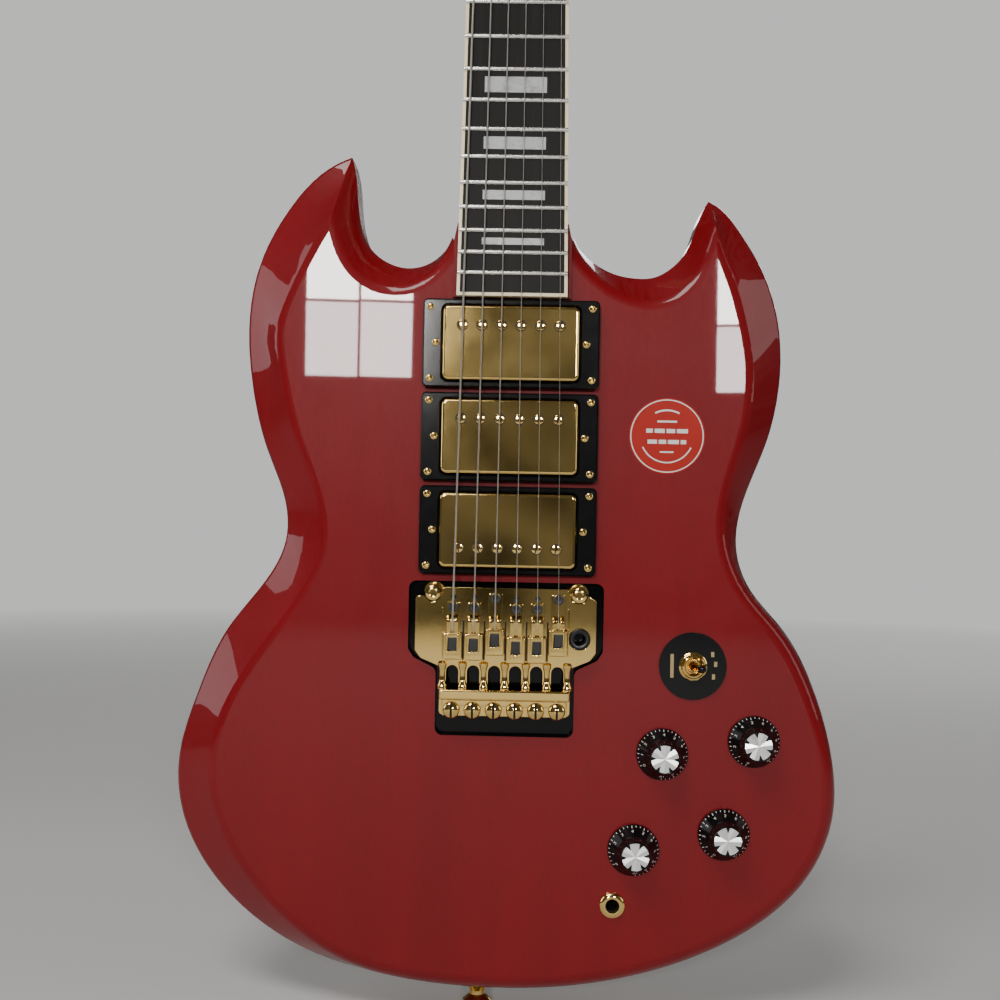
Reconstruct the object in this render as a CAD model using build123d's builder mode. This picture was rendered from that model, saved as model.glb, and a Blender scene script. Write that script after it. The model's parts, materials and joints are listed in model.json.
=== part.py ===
from build123d import *
import math
import os

# Electric guitar with two bevelled horns, three pickups and a tremolo.
# X runs across the body (bass side negative), Y from the face to the back, Z up the neck.
# The origin is at the tail end of the body, on the centre line, half way through its thickness.

os.makedirs("parts", exist_ok=True)

# ---------------------------------------------------------------- driving dimensions (mm)
scale_length = 628.0
fret_count = 22
bridge_z = 191.8
body_thickness = 38.0
bevel_depth = 13.0
back_round = 3.0
crown_round = 8.0
rim_round = 2.5
glue_gap = 0.02
hole_clearance = 0.05
shaft_clearance = 0.04

neck_root_z = 394.5
neck_lift = 2.5
pocket_depth = 16.0
heel_half_width = 30.2
heel_tip_half_width = 28.4
heel_taper = 9.0
heel_flare = 3.5
board_thickness = 6.0
board_overhang = 11.6
board_end_half_width = 28.15
nut_half_width = 21.5
binding_width = 1.6
fret_width = 2.4
fret_height = 1.1
fret_tang = (0.5, 1.8)
inlay_width = 31.5
inlay_depth = 1.5
inlay_margin = 3.85
inlay_frets = (3, 5, 7, 9, 12, 15, 17, 19, 21)

nut_length = 15.0
head_tilt = 14.0
head_thickness = 15.0
head_length = 188.0
tuner_rows = (45.0, 87.0, 129.0)
tuner_x = 31.0
post_radius = 3.0
post_height = 12.0
worm_offset = 7.4
key_shaft_radius = 2.0

string_radii = (0.53, 0.41, 0.31, 0.21, 0.15, 0.12)
string_spread_bridge = 53.4
string_spread_nut = 35.5
string_height_bridge = 12.0
string_height_nut = 10.3

ring_width = 90.0
ring_length = 45.0
ring_height = 6.0
ring_gap = 1.4
pickup_pitch = 47.6
cover_width = 69.4
cover_length = 37.8
cover_top = 8.0
cover_wall = 0.6
pickup_clearance = 0.5
pickup_travel = 2.0
pickup_depth = 9.0
pole_pitch = 9.9
pole_offset = 9.0
pole_radius = 2.3
height_screw_x = 38.3
corner_screw = (41.2, 18.2)

recess_depth = 6.0
stud_x = 37.15
pivot_z = 205.2
stud_radius = 3.7
plate_bottom = 3.5
plate_thickness = 2.5
saddle_width = 9.6
lock_places = (179.8, 179.5, 182.2, 178.4, 178.6, 182.4)
lock_size = (4.2, 6.4)
fine_tuner_z = 146.5
arm_place = (37.6, 183.0)
arm_radius = 3.05
block_z = (185.0, 197.0)
block_back_gap = 5.0
spring_radius = 3.9
spring_places = (-12.0, 0.0, 12.0)
claw_z = 318.0

knob_places = ((81.0, 125.0), (127.5, 132.3), (67.2, 75.9), (113.0, 84.8))
knob_radius = 13.2
knob_cap_radius = 7.7
knob_height = 16.0
pot_radius = 12.0
pot_shaft_radius = 3.0
bushing_radius = 4.7
top_thickness = 7.0
jack_place = (57.0, 47.3)
jack_bore = 3.25
toggle_place = (95.8, 170.1)
toggle_plate_radius = 17.2
toggle_plate_thickness = 1.2
toggle_tilt = 14.0
cover_plate_thickness = 2.0
tail_button_x = -11.6
neck_depth_heel = 17.0
neck_depth_nut = 14.5
heel_fair_width = 54.0
head_side = ((21.5, 0), (24, 12), (40, 36), (43, 90), (44, 150))
rod_start_z = 410.0
rod_size = (6.0, 7.4)
rod_cover_thickness = 1.5
rod_cover_screws = ((-9.5, 5.5), (9.5, 5.5), (0, 34))
nut_base_top = 9.7
clamp_bottom = 10.9
clamp_thickness = 5.0
clamp_size = (12.6, 12.0)
nut_bolt_radius = 1.5
nut_bolt_depth = 6.0
small_screw_radius = 1.1
small_screw_depth = 7.0
tuner_bush_radius = 4.9
tuner_depth = 9.0
tuner_wall = 1.5
tuner_tab = 2.0
housing_size = (15.0, 21.0)
worm_wheel_radius = 5.2
worm_length = 9.0
key_reach = 18.0
string_post_level = 7.5
string_tuners = (0, 1, 2, 5, 4, 3)
wood_screw_radius = 1.3
wood_screw_depth = 9.0
height_screw_radius = 1.25
height_screw_reach = 16.0
leg_width = 84.0
leg_length = 13.0
insert_radius = 5.4
insert_length = 16.0
stud_top = 8.5
plate_tail_z = 143.4
slot_z = 160.7
slot_size = (6.2, 15.0)
cross_bar_z = 154.4
cross_bar_length = 7.0
ledge_height = 2.5
fine_tuner_radius = 1.7
collar_radius = 5.4
collar_bottom = 0.5
collar_top = 7.4
saddle_height = 5.0
spring_inset = 7.2
knob_gap = 0.6
toggle_bushing_radius = 6.0
toggle_nut_radius = 7.2
toggle_mouth_radius = 4.3
jack_top = 2.6
jack_bore_length = 22.0
button_screw_radius = 1.9
button_screw_length = 20.0
back_button_z = 372.0
claw_screw_radius = 2.0
claw_screw_length = 34.0
claw_screw_x = 21.5
cover_screw_places = (
    (-33, 162.5), (33, 162.5), (-33, 335.5), (33, 335.5), (-34, 249), (34, 249),
)

# ---------------------------------------------------------------- derived places
half_thickness = body_thickness / 2
nut_z = bridge_z + scale_length
last_fret_z = bridge_z + scale_length / 2 ** (fret_count / 12)
board_end_z = last_fret_z - board_overhang
board_top = neck_lift + board_thickness
plate_top = plate_bottom + plate_thickness
pickup_zs = [board_end_z - ring_gap - ring_length / 2 - i * pickup_pitch for i in range(3)]
neck_front_y = -half_thickness - neck_lift
rim_y = -half_thickness + bevel_depth
block_reach = body_thickness - block_back_gap


def face_level(height):
    """Plane parallel to the body's face, this far in front of it and facing forwards."""
    return Plane.XZ.offset(half_thickness + height)


def back_level(depth):
    """The same kind of plane, this far inside the back."""
    return Plane.XZ.offset(-half_thickness + depth)


def lathe_plane(x, z):
    """Plane through an axis that leaves the face at x, z: radius across, height outwards."""
    return Plane(origin=(x, -half_thickness, z), x_dir=(1, 0, 0), z_dir=(0, 0, -1))


def fret_z(number):
    return bridge_z + scale_length / 2 ** (number / 12)


def board_half_width(z):
    share = (z - board_end_z) / (nut_z - board_end_z)
    return board_end_half_width + share * (nut_half_width - board_end_half_width)


def spread(width, index):
    """Place across the neck of one of six evenly spaced strings, bass string first."""
    return width * (index / 5 - 0.5)


head_base = Plane(
    origin=(0, neck_front_y, nut_z + nut_length),
    x_dir=(1, 0, 0),
    z_dir=(0, -math.cos(math.radians(head_tilt)), math.sin(math.radians(head_tilt))),
)


def head_level(height):
    """Plane parallel to the headstock's face; its own Y runs up the headstock."""
    return head_base.offset(height)


tuner_places = [(side * tuner_x, row) for side in (-1, 1) for row in tuner_rows]
housing_places = [(x, y + worm_offset / 2 - 1) for x, y in tuner_places]
key_places = [(x, y + worm_offset) for x, y in tuner_places]
tuner_screw_places = [(x, y - 11.5) for x, y in tuner_places]
nut_bolt_places = [
    (spread(string_spread_nut, pair + 0.5), nut_z + nut_length / 2) for pair in (0, 2, 4)
]
corner_places = [
    (x, z + dz) for z in pickup_zs for x in (-corner_screw[0], corner_screw[0])
    for dz in (-corner_screw[1], corner_screw[1])
]
height_places = [(x, z) for z in pickup_zs for x in (-height_screw_x, height_screw_x)]
claw_screw_places = [(x, half_thickness - spring_inset) for x in (-claw_screw_x, claw_screw_x)]

# ---------------------------------------------------------------- body
# Each pair of curves runs from the bass horn's tip round the tail to the treble horn's tip:
# the widest edge of the side wall, and the inner edge of the bevel on the flat face.
rim_outer = (
    (-85.5, 431.5), (-104.5, 420), (-117.5, 404.5), (-133, 374), (-138, 343), (-135, 307.5),
    (-127, 277), (-117, 250), (-116.5, 229.5), (-127, 208), (-146, 183), (-161, 149.5),
    (-170.5, 112.5), (-166, 81), (-146.5, 49), (-116, 24), (-81.5, 9.5), (-38.5, 2), (0, 0),
    (53, 4.5), (97, 17), (132, 35.5), (159, 62), (171.5, 95), (169.5, 127.5), (158.5, 162.5),
    (143.5, 189), (126, 210), (119, 232), (123, 257), (133.5, 284.5), (140.5, 323),
    (138, 353), (127, 381.5), (118.5, 395), (109.5, 406), (101.5, 411),
)
crown_outer = (
    (-94, 397), (-98.5, 389), (-104, 378), (-114, 356), (-120, 333), (-116, 307.5),
    (-107, 277), (-96, 248), (-94.5, 226), (-104, 204), (-122, 178), (-142, 146),
    (-150, 112.5), (-143, 82), (-124.5, 52.5), (-99, 29), (-72, 13.5), (-37, 5), (0, 2.5),
    (52.5, 7), (96, 19.5), (130.5, 37.5), (157, 63.5), (169, 95), (167, 127), (156, 161.5),
    (140.5, 188), (120.5, 211.5), (111, 232), (111, 257), (118, 283), (122.5, 322),
    (118, 348), (112.5, 367), (108.5, 378), (106, 387), (104, 396),
)
rim_bass_cutaway = (
    (-29.5, neck_root_z), (-35.5, 383), (-44, 376), (-54.5, 373.5), (-65, 376), (-75, 384),
    (-80, 396), (-82, 412), (-85.5, 431.5),
)
crown_bass_cutaway = (
    (-31.5, neck_root_z - 2), (-39, 371.5), (-47, 363.5), (-57, 360), (-70, 361), (-82, 368.5),
    (-88, 377.5), (-91, 386), (-94, 397),
)
rim_treble_cutaway = (
    (101.5, 411), (95, 396.5), (90, 384), (82.5, 375.5), (73, 370.5), (64.5, 370), (55, 371.5),
    (44, 376.5), (35.5, 383.5), (29.5, neck_root_z),
)
crown_treble_cutaway = (
    (104, 396), (101.5, 383), (97, 371), (90, 362.5), (81, 356.5), (69, 354.5), (58, 357.5),
    (47, 364.5), (39, 373), (31.5, neck_root_z - 2),
)
recess_corners = (
    (-50, 211), (-50, 176), (-47, 171.5), (-35.5, 166), (-35.5, 132),
    (35.5, 132), (35.5, 166), (47, 171.5), (50, 176), (50, 211),
)
control_corners = (
    (45, 34), (90, 34), (126, 56), (146, 88), (150, 118), (142, 150), (118, 188), (80, 188),
    (62, 150), (45, 110),
)
stud_places = ((-stud_x, pivot_z), (stud_x, pivot_z))
block_hole = (70.0, 36.0)
block_hole_z = 186.0
spring_cavity = (60.0, 162.0)
spring_cavity_z = 249.0
spring_cavity_depth = 15.0
spring_cover = (76.0, 182.0)
cover_margin = 5.0
cover_gap = 0.15
pickup_route = (cover_width + 2.0, cover_length + 2.4)
leg_route = (87.0, 16.0)
pickup_route_depth = 19.0


rim_loop = (rim_outer, rim_treble_cutaway, rim_bass_cutaway)
crown_loop = (crown_outer, crown_treble_cutaway, crown_bass_cutaway)

pocket_half_width = heel_half_width + heel_flare
pocket_end_z = neck_root_z + 20
pocket_corners = (
    (-heel_half_width, board_end_z), (-heel_half_width, neck_root_z - heel_taper),
    (-pocket_half_width, neck_root_z), (-pocket_half_width, pocket_end_z),
    (pocket_half_width, pocket_end_z), (pocket_half_width, neck_root_z),
    (heel_half_width, neck_root_z - heel_taper), (heel_half_width, board_end_z),
)
with BuildPart() as body:
    # Slab from the back to the bottom of the bevels, its back edge rounded.
    with BuildSketch(face_level(-bevel_depth)):
        with BuildLine():
            Spline(*rim_outer)
            Spline(*rim_treble_cutaway)
            Line(rim_treble_cutaway[-1], rim_bass_cutaway[0])
            Spline(*rim_bass_cutaway)
        make_face()
    extrude(amount=-(body_thickness - bevel_depth))
    fillet(body.faces().sort_by(Axis.Y)[-1].edges(), back_round)
    # Bevels, from the side wall's edge up to the flat face.
    for level, (outer, treble_cutaway, bass_cutaway) in ((-bevel_depth, rim_loop), (0, crown_loop)):
        with BuildSketch(face_level(level)):
            with BuildLine():
                Spline(*outer)
                Spline(*treble_cutaway)
                Line(treble_cutaway[-1], bass_cutaway[0])
                Spline(*bass_cutaway)
            make_face()
    loft(ruled=True)
    crown_edges = body.faces().sort_by(Axis.Y)[0].edges()
    fillet(crown_edges, crown_round)
    rim_edges = body.edges().filter_by_position(Axis.Y, rim_y - 0.01, rim_y + 0.01)
    fillet(rim_edges.sort_by(SortBy.LENGTH)[-1], rim_round)
    # Pocket for the neck's heel, open and flared at the neck root.
    with BuildSketch(face_level(0)):
        with BuildLine():
            Polyline(*pocket_corners, close=True)
        make_face()
    extrude(amount=-pocket_depth, mode=Mode.SUBTRACT)
    # Routes for the pickups and their legs.
    with BuildSketch(face_level(0)):
        with Locations(*[(0, z) for z in pickup_zs]):
            RectangleRounded(*pickup_route, 3)
            RectangleRounded(*leg_route, 3)
    extrude(amount=-pickup_route_depth, mode=Mode.SUBTRACT)
    # Tremolo recess, the way through for its block, and the spring cavity in the back.
    with BuildSketch(face_level(0)) as recess:
        with BuildLine():
            Polyline(*recess_corners, close=True)
        make_face()
        fillet(recess.vertices(), 4)
    extrude(amount=-recess_depth, mode=Mode.SUBTRACT)
    with BuildSketch(face_level(0)):
        with Locations((0, block_hole_z)):
            RectangleRounded(*block_hole, 4)
    extrude(amount=-body_thickness, mode=Mode.SUBTRACT)
    with BuildSketch(back_level(0)):
        with Locations((0, spring_cavity_z)):
            RectangleRounded(*spring_cavity, 4)
    extrude(amount=spring_cavity_depth, mode=Mode.SUBTRACT)
    with BuildSketch(back_level(0)):
        with Locations((0, spring_cavity_z)):
            RectangleRounded(*spring_cover, 6)
    extrude(amount=cover_plate_thickness, mode=Mode.SUBTRACT)
    # Control cavity, with a seat for its cover.
    with BuildSketch(back_level(0)) as control_route:
        with BuildLine():
            Polyline(*control_corners, close=True)
        make_face()
        fillet(control_route.vertices(), 8)
    extrude(amount=body_thickness - top_thickness, mode=Mode.SUBTRACT)
    with BuildSketch(back_level(0)) as control_seat:
        with BuildLine():
            Polyline(*control_corners, close=True)
        make_face()
        fillet(control_seat.vertices(), 8)
        offset(amount=cover_margin)
    extrude(amount=cover_plate_thickness, mode=Mode.SUBTRACT)
    # Bores for the pots, the jack and the toggle switch, and for the tremolo studs.
    with BuildSketch(face_level(0)):
        with Locations(*knob_places, jack_place):
            Circle(bushing_radius + hole_clearance)
        with Locations(toggle_place):
            Circle(toggle_bushing_radius + hole_clearance)
    extrude(amount=-top_thickness, mode=Mode.SUBTRACT)
    with BuildSketch(face_level(-recess_depth)):
        with Locations(*stud_places):
            Circle(insert_radius)
    extrude(amount=-insert_length, mode=Mode.SUBTRACT)
    # Pilot holes of the wood screws.
    with BuildSketch(face_level(0)):
        with Locations(*corner_places):
            Circle(wood_screw_radius)
    extrude(amount=-wood_screw_depth, mode=Mode.SUBTRACT)
    with BuildSketch(back_level(0)):
        with Locations(*cover_screw_places):
            Circle(wood_screw_radius)
    extrude(amount=wood_screw_depth, mode=Mode.SUBTRACT)
    with BuildSketch(Plane.XY.offset(claw_z)):
        with Locations(*claw_screw_places):
            Circle(claw_screw_radius)
    extrude(amount=claw_screw_length, mode=Mode.SUBTRACT)
    with BuildSketch(Plane.XY.offset(-1)):
        with Locations((tail_button_x, 0)):
            Circle(button_screw_radius)
    extrude(amount=button_screw_length + 1, mode=Mode.SUBTRACT)
    with BuildSketch(back_level(0)):
        with Locations((0, back_button_z)):
            Circle(button_screw_radius)
    extrude(amount=button_screw_length, mode=Mode.SUBTRACT)
body.part.label = "body"
export_step(body.part, "parts/body.step")

# ---------------------------------------------------------------- neck and headstock
neck_sections = (
    (neck_root_z - 3, board_half_width(neck_root_z - 3), neck_depth_heel),
    (nut_z, nut_half_width, neck_depth_nut),
)
heel_side = heel_half_width - glue_gap
heel_corners = (
    (-heel_side, board_end_z), (-heel_side, neck_root_z - heel_taper), (-heel_tip_half_width, neck_root_z),
    (heel_tip_half_width, neck_root_z), (heel_side, neck_root_z - heel_taper), (heel_side, board_end_z),
)
with BuildPart() as neck:
    # Heel block in the pocket, tapered at its top to the width of the neck.
    with BuildSketch(face_level(neck_lift)):
        with BuildLine():
            Polyline(*heel_corners, close=True)
        make_face()
    extrude(amount=-(pocket_depth + neck_lift - glue_gap))
    # Shaft, from the heel to the nut shelf: half an ellipse, flat under the fretboard.
    for z, half_width, depth in neck_sections:
        with BuildSketch(Plane.XY.offset(z)):
            with Locations((0, neck_front_y)):
                Ellipse(half_width, depth)
                Rectangle(3 * half_width, 2 * depth, align=(Align.CENTER, Align.MAX), mode=Mode.SUBTRACT)
    loft(ruled=True)
    with BuildSketch(Plane.XY.offset(nut_z)):
        with Locations((0, neck_front_y)):
            Ellipse(nut_half_width, neck_depth_nut)
            Rectangle(
                3 * nut_half_width, 2 * neck_depth_nut,
                align=(Align.CENTER, Align.MAX), mode=Mode.SUBTRACT,
            )
    extrude(amount=nut_length)
    # Heel that fairs the neck into the body's edge.
    with BuildSketch(Plane.YZ.offset(-heel_fair_width / 2)):
        with BuildLine():
            Polyline(
                (neck_front_y, neck_root_z),
                (half_thickness - 9, neck_root_z),
                (half_thickness - 14, neck_root_z + 6),
                (neck_front_y + neck_depth_heel - 2, neck_root_z + 34),
                (neck_front_y, neck_root_z + 34),
                close=True,
            )
        make_face()
    extrude(amount=heel_fair_width)
    # Headstock, tilted back from the nut.
    with BuildSketch(head_level(0)):
        with BuildLine() as head_edge:
            Spline(*head_side, tangents=((0, 1), (0.1, 1)))
            ThreePointArc(head_side[-1], (0, head_length), (-head_side[-1][0], head_side[-1][1]))
            Spline(*[(-x, y) for x, y in reversed(head_side)], tangents=((0.1, -1), (0, -1)))
            Line((-head_side[0][0], head_side[0][1]), head_side[0])
        make_face()
    extrude(amount=-head_thickness)
    # Channel and pocket of the truss rod.
    with BuildSketch(Plane.XY.offset(rod_start_z)):
        with Locations((0, neck_front_y)):
            Rectangle(rod_size[0] + 0.1, rod_size[1] + 0.1, align=(Align.CENTER, Align.MIN))
    extrude(amount=nut_z + nut_length + 4 - rod_start_z, mode=Mode.SUBTRACT)
    with BuildSketch(head_level(0)):
        with Locations((0, -2)):
            Rectangle(11, 26, align=(Align.CENTER, Align.MIN))
    extrude(amount=-10, mode=Mode.SUBTRACT)
    # Bores for the tuners, and pilot holes of the headstock's screws.
    with BuildSketch(head_level(0)):
        with Locations(*tuner_places):
            Circle(tuner_bush_radius + hole_clearance)
    extrude(amount=-head_thickness, mode=Mode.SUBTRACT)
    with BuildSketch(head_level(0)):
        with Locations(*rod_cover_screws):
            Circle(small_screw_radius)
    extrude(amount=-small_screw_depth, mode=Mode.SUBTRACT)
    with BuildSketch(head_level(-head_thickness)):
        with Locations(*tuner_screw_places):
            Circle(small_screw_radius)
    extrude(amount=small_screw_depth, mode=Mode.SUBTRACT)
neck.part.label = "neck"
export_step(neck.part, "parts/neck.step")

with BuildPart() as truss_rod:
    with BuildSketch(Plane.XY.offset(rod_start_z + 0.5)):
        with Locations((0, neck_front_y + 0.05)):
            Rectangle(rod_size[0], rod_size[1] - 0.05, align=(Align.CENTER, Align.MIN))
    extrude(amount=nut_z + nut_length - rod_start_z)
    with BuildSketch(Plane.XY.offset(nut_z + nut_length)):
        with Locations((0, neck_front_y + rod_size[1] - 1.2)):
            RegularPolygon(3.2, 6)
    extrude(amount=9)
truss_rod.part.label = "truss_rod"
export_step(truss_rod.part, "parts/truss_rod.step")

with BuildPart() as truss_rod_cover:
    with BuildSketch(head_level(0)) as bell:
        with BuildLine():
            Polyline((-13, 2), (13, 2), (12, 12), (5, 26), (4, 38), (-4, 38), (-5, 26), (-12, 12), close=True)
        make_face()
        fillet(bell.vertices(), 2.5)
    extrude(amount=rod_cover_thickness)
    with BuildSketch(head_level(0)):
        with Locations(*rod_cover_screws):
            Circle(small_screw_radius)
    extrude(amount=rod_cover_thickness, mode=Mode.SUBTRACT)
truss_rod_cover.part.label = "truss_rod_cover"
export_step(truss_rod_cover.part, "parts/truss_rod_cover.step")

# ---------------------------------------------------------------- fretboard
inner_end = board_end_half_width - binding_width
inner_nut = nut_half_width - binding_width
with BuildPart() as fretboard:
    with BuildSketch(face_level(neck_lift)):
        with BuildLine():
            Polyline(
                (-inner_end, board_end_z + binding_width),
                (inner_end, board_end_z + binding_width),
                (inner_nut, nut_z),
                (-inner_nut, nut_z),
                close=True,
            )
        make_face()
    extrude(amount=board_thickness)
    for number in range(1, fret_count + 1):
        with BuildSketch(face_level(board_top)):
            with Locations((0, fret_z(number))):
                Rectangle(2 * board_end_half_width, fret_tang[0])
        extrude(amount=-fret_tang[1], mode=Mode.SUBTRACT)
    for number in inlay_frets:
        middle = (fret_z(number) + fret_z(number - 1)) / 2
        length = fret_z(number - 1) - fret_z(number) - 2 * inlay_margin
        with BuildSketch(face_level(board_top)):
            with Locations((0, middle)):
                Rectangle(inlay_width, length)
        extrude(amount=-inlay_depth, mode=Mode.SUBTRACT)
fretboard.part.label = "fretboard"
export_step(fretboard.part, "parts/fretboard.step")

with BuildPart() as inlays:
    for number in inlay_frets:
        middle = (fret_z(number) + fret_z(number - 1)) / 2
        length = fret_z(number - 1) - fret_z(number) - 2 * inlay_margin
        with BuildSketch(face_level(board_top)):
            with Locations((0, middle)):
                Rectangle(inlay_width, length)
        extrude(amount=-inlay_depth)
inlays.part.label = "inlays"
export_step(inlays.part, "parts/inlays.step")

with BuildPart() as binding:
    with BuildSketch(face_level(neck_lift)):
        with BuildLine():
            Polyline(
                (-board_end_half_width, board_end_z),
                (board_end_half_width, board_end_z),
                (nut_half_width, nut_z),
                (inner_nut, nut_z),
                (inner_end, board_end_z + binding_width),
                (-inner_end, board_end_z + binding_width),
                (-inner_nut, nut_z),
                (-nut_half_width, nut_z),
                close=True,
            )
        make_face()
    extrude(amount=board_thickness)
    for number in range(1, fret_count + 1):
        with BuildSketch(face_level(board_top)):
            with Locations((0, fret_z(number))):
                Rectangle(2 * board_end_half_width + 2, fret_tang[0])
        extrude(amount=-fret_tang[1], mode=Mode.SUBTRACT)
binding.part.label = "binding"
export_step(binding.part, "parts/binding.step")

with BuildPart() as frets:
    for number in range(1, fret_count + 1):
        z = fret_z(number)
        half = board_half_width(z) - 0.1
        with BuildSketch(Plane.YZ.offset(-half)):
            with BuildLine():
                crown = -half_thickness - board_top
                ThreePointArc(
                    (crown, z - fret_width / 2), (crown - fret_height, z), (crown, z + fret_width / 2)
                )
                Line((crown, z + fret_width / 2), (crown, z - fret_width / 2))
            make_face()
            with Locations((crown, z)):
                Rectangle(fret_tang[1], fret_tang[0], align=(Align.MIN, Align.CENTER))
        extrude(amount=2 * half)
frets.part.label = "frets"
export_step(frets.part, "parts/frets.step")

# ---------------------------------------------------------------- locking nut
with BuildPart() as nut_base:
    with BuildSketch(face_level(neck_lift)):
        with Locations((0, nut_z)):
            Rectangle(2 * nut_half_width, nut_length, align=(Align.CENTER, Align.MIN))
    extrude(amount=nut_base_top - neck_lift)
    with BuildSketch(face_level(nut_base_top)):
        with Locations(*nut_bolt_places):
            Circle(nut_bolt_radius)
    extrude(amount=-nut_bolt_depth, mode=Mode.SUBTRACT)
nut_base.part.label = "nut_base"
export_step(nut_base.part, "parts/nut_base.step")

with BuildPart() as nut_clamps:
    with BuildSketch(face_level(clamp_bottom)):
        with Locations(*nut_bolt_places):
            RectangleRounded(*clamp_size, 1.5)
            Circle(nut_bolt_radius, mode=Mode.SUBTRACT)
    extrude(amount=clamp_thickness)
nut_clamps.part.label = "nut_clamps"
export_step(nut_clamps.part, "parts/nut_clamps.step")

with BuildPart() as headstock_screws:
    # Bolts of the nut clamps.
    with BuildSketch(face_level(clamp_bottom + clamp_thickness)) as bolt_heads:
        with Locations(*nut_bolt_places):
            Circle(2.8)
            RegularPolygon(1.5, 6, mode=Mode.SUBTRACT)
    extrude(amount=2.4)
    with BuildSketch(face_level(clamp_bottom + clamp_thickness)):
        with Locations(*nut_bolt_places):
            Circle(nut_bolt_radius - hole_clearance)
    extrude(amount=-(clamp_bottom + clamp_thickness - nut_base_top + nut_bolt_depth - 1))
    with BuildSketch(face_level(clamp_bottom + clamp_thickness)):
        with Locations(*nut_bolt_places):
            Circle(2.0)
    extrude(amount=0.8)
    # Screws of the truss rod cover and the tuners.
    with BuildSketch(head_level(rod_cover_thickness)):
        with Locations(*rod_cover_screws):
            Circle(2.0)
    extrude(amount=0.9)
    with BuildSketch(head_level(rod_cover_thickness)):
        with Locations(*rod_cover_screws):
            Circle(small_screw_radius - hole_clearance)
    extrude(amount=-(rod_cover_thickness + small_screw_depth - 1))
    with BuildSketch(head_level(-head_thickness - tuner_tab)):
        with Locations(*tuner_screw_places):
            Circle(2.0)
    extrude(amount=-0.9)
    with BuildSketch(head_level(-head_thickness - tuner_tab)):
        with Locations(*tuner_screw_places):
            Circle(small_screw_radius - hole_clearance)
    extrude(amount=tuner_tab + small_screw_depth - 1)
headstock_screws.part.label = "headstock_screws"
export_step(headstock_screws.part, "parts/headstock_screws.step")

# ---------------------------------------------------------------- tuners
housing_level = -head_thickness
worm_level = housing_level - tuner_depth / 2
with BuildPart() as tuner_housings:
    with BuildSketch(head_level(housing_level)):
        with Locations(*housing_places):
            RectangleRounded(*housing_size, 2)
    extrude(amount=-tuner_depth)
    with BuildSketch(head_level(housing_level)):
        with Locations(*tuner_screw_places):
            RectangleRounded(8, 9, 2)
    extrude(amount=-tuner_tab)
    # Threaded bush through the headstock, with its washer and hexagon.
    with BuildSketch(head_level(housing_level)):
        with Locations(*tuner_places):
            Circle(tuner_bush_radius)
    extrude(amount=head_thickness + 3)
    with BuildSketch(head_level(0)):
        with Locations(*tuner_places):
            Circle(7)
    extrude(amount=0.8)
    with BuildSketch(head_level(0.8)):
        with Locations(*tuner_places):
            RegularPolygon(6, 6)
    extrude(amount=2.6)
    # Gear chamber, post bore, key bore and screw holes.
    with BuildSketch(head_level(housing_level - tuner_wall)):
        with Locations(*housing_places):
            Rectangle(housing_size[0] - 2 * tuner_wall, housing_size[1] - 2 * tuner_wall)
    extrude(amount=-(tuner_depth - 2 * tuner_wall), mode=Mode.SUBTRACT)
    with BuildSketch(head_level(housing_level - tuner_wall)):
        with Locations(*tuner_places):
            Circle(post_radius + shaft_clearance)
    extrude(amount=head_thickness + 20, mode=Mode.SUBTRACT)
    for x, y in key_places:
        outward = math.copysign(1, x)
        with BuildSketch(Plane.YZ.offset(outward * tuner_x)):
            with Locations(((head_base * Pos(0, y, worm_level)).position.Y,
                            (head_base * Pos(0, y, worm_level)).position.Z)):
                Circle(key_shaft_radius + shaft_clearance)
        extrude(amount=outward * 12, mode=Mode.SUBTRACT)
    with BuildSketch(head_level(housing_level)):
        with Locations(*tuner_screw_places):
            Circle(small_screw_radius)
    extrude(amount=-tuner_tab, mode=Mode.SUBTRACT)
tuner_housings.part.label = "tuner_housings"
export_step(tuner_housings.part, "parts/tuner_housings.step")

for index, (x, y) in enumerate(tuner_places):
    with BuildPart() as tuner_post:
        with BuildSketch(head_level(worm_level - 1.5)):
            with Locations((x, y)):
                Circle(post_radius)
        extrude(amount=post_height - worm_level + 1.5)
        # Worm wheel at its foot.
        with BuildSketch(head_level(worm_level - 1.5)):
            with Locations((x, y)):
                Circle(worm_wheel_radius)
        extrude(amount=3)
        # Waist that the string winds on, and the hole it passes through.
        with BuildSketch(head_level(post_height - 6.5)):
            with Locations((x, y)):
                Circle(post_radius)
                Circle(post_radius - 0.4, mode=Mode.SUBTRACT)
        extrude(amount=4, mode=Mode.SUBTRACT)
    tuner_post.part.label = f"tuner_post_{index + 1}"
    export_step(tuner_post.part, f"parts/tuner_post_{index + 1}.step")

for index, (x, y) in enumerate(key_places):
    outward = math.copysign(1, x)
    axis_point = (head_base * Pos(0, y, worm_level)).position
    with BuildPart() as tuner_key:
        with BuildSketch(Plane.YZ.offset(x - outward * worm_length / 2)):
            with Locations((axis_point.Y, axis_point.Z)):
                Circle(key_shaft_radius)
        extrude(amount=outward * (worm_length / 2 + key_reach))
        # Oval grip, flat towards the player.
        with BuildSketch(head_level(worm_level)):
            with Locations((x + outward * (key_reach + 7), y)):
                Ellipse(8, 10)
        extrude(amount=3.5, both=True)
    tuner_key.part.label = f"tuner_key_{index + 1}"
    export_step(tuner_key.part, f"parts/tuner_key_{index + 1}.step")

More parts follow.
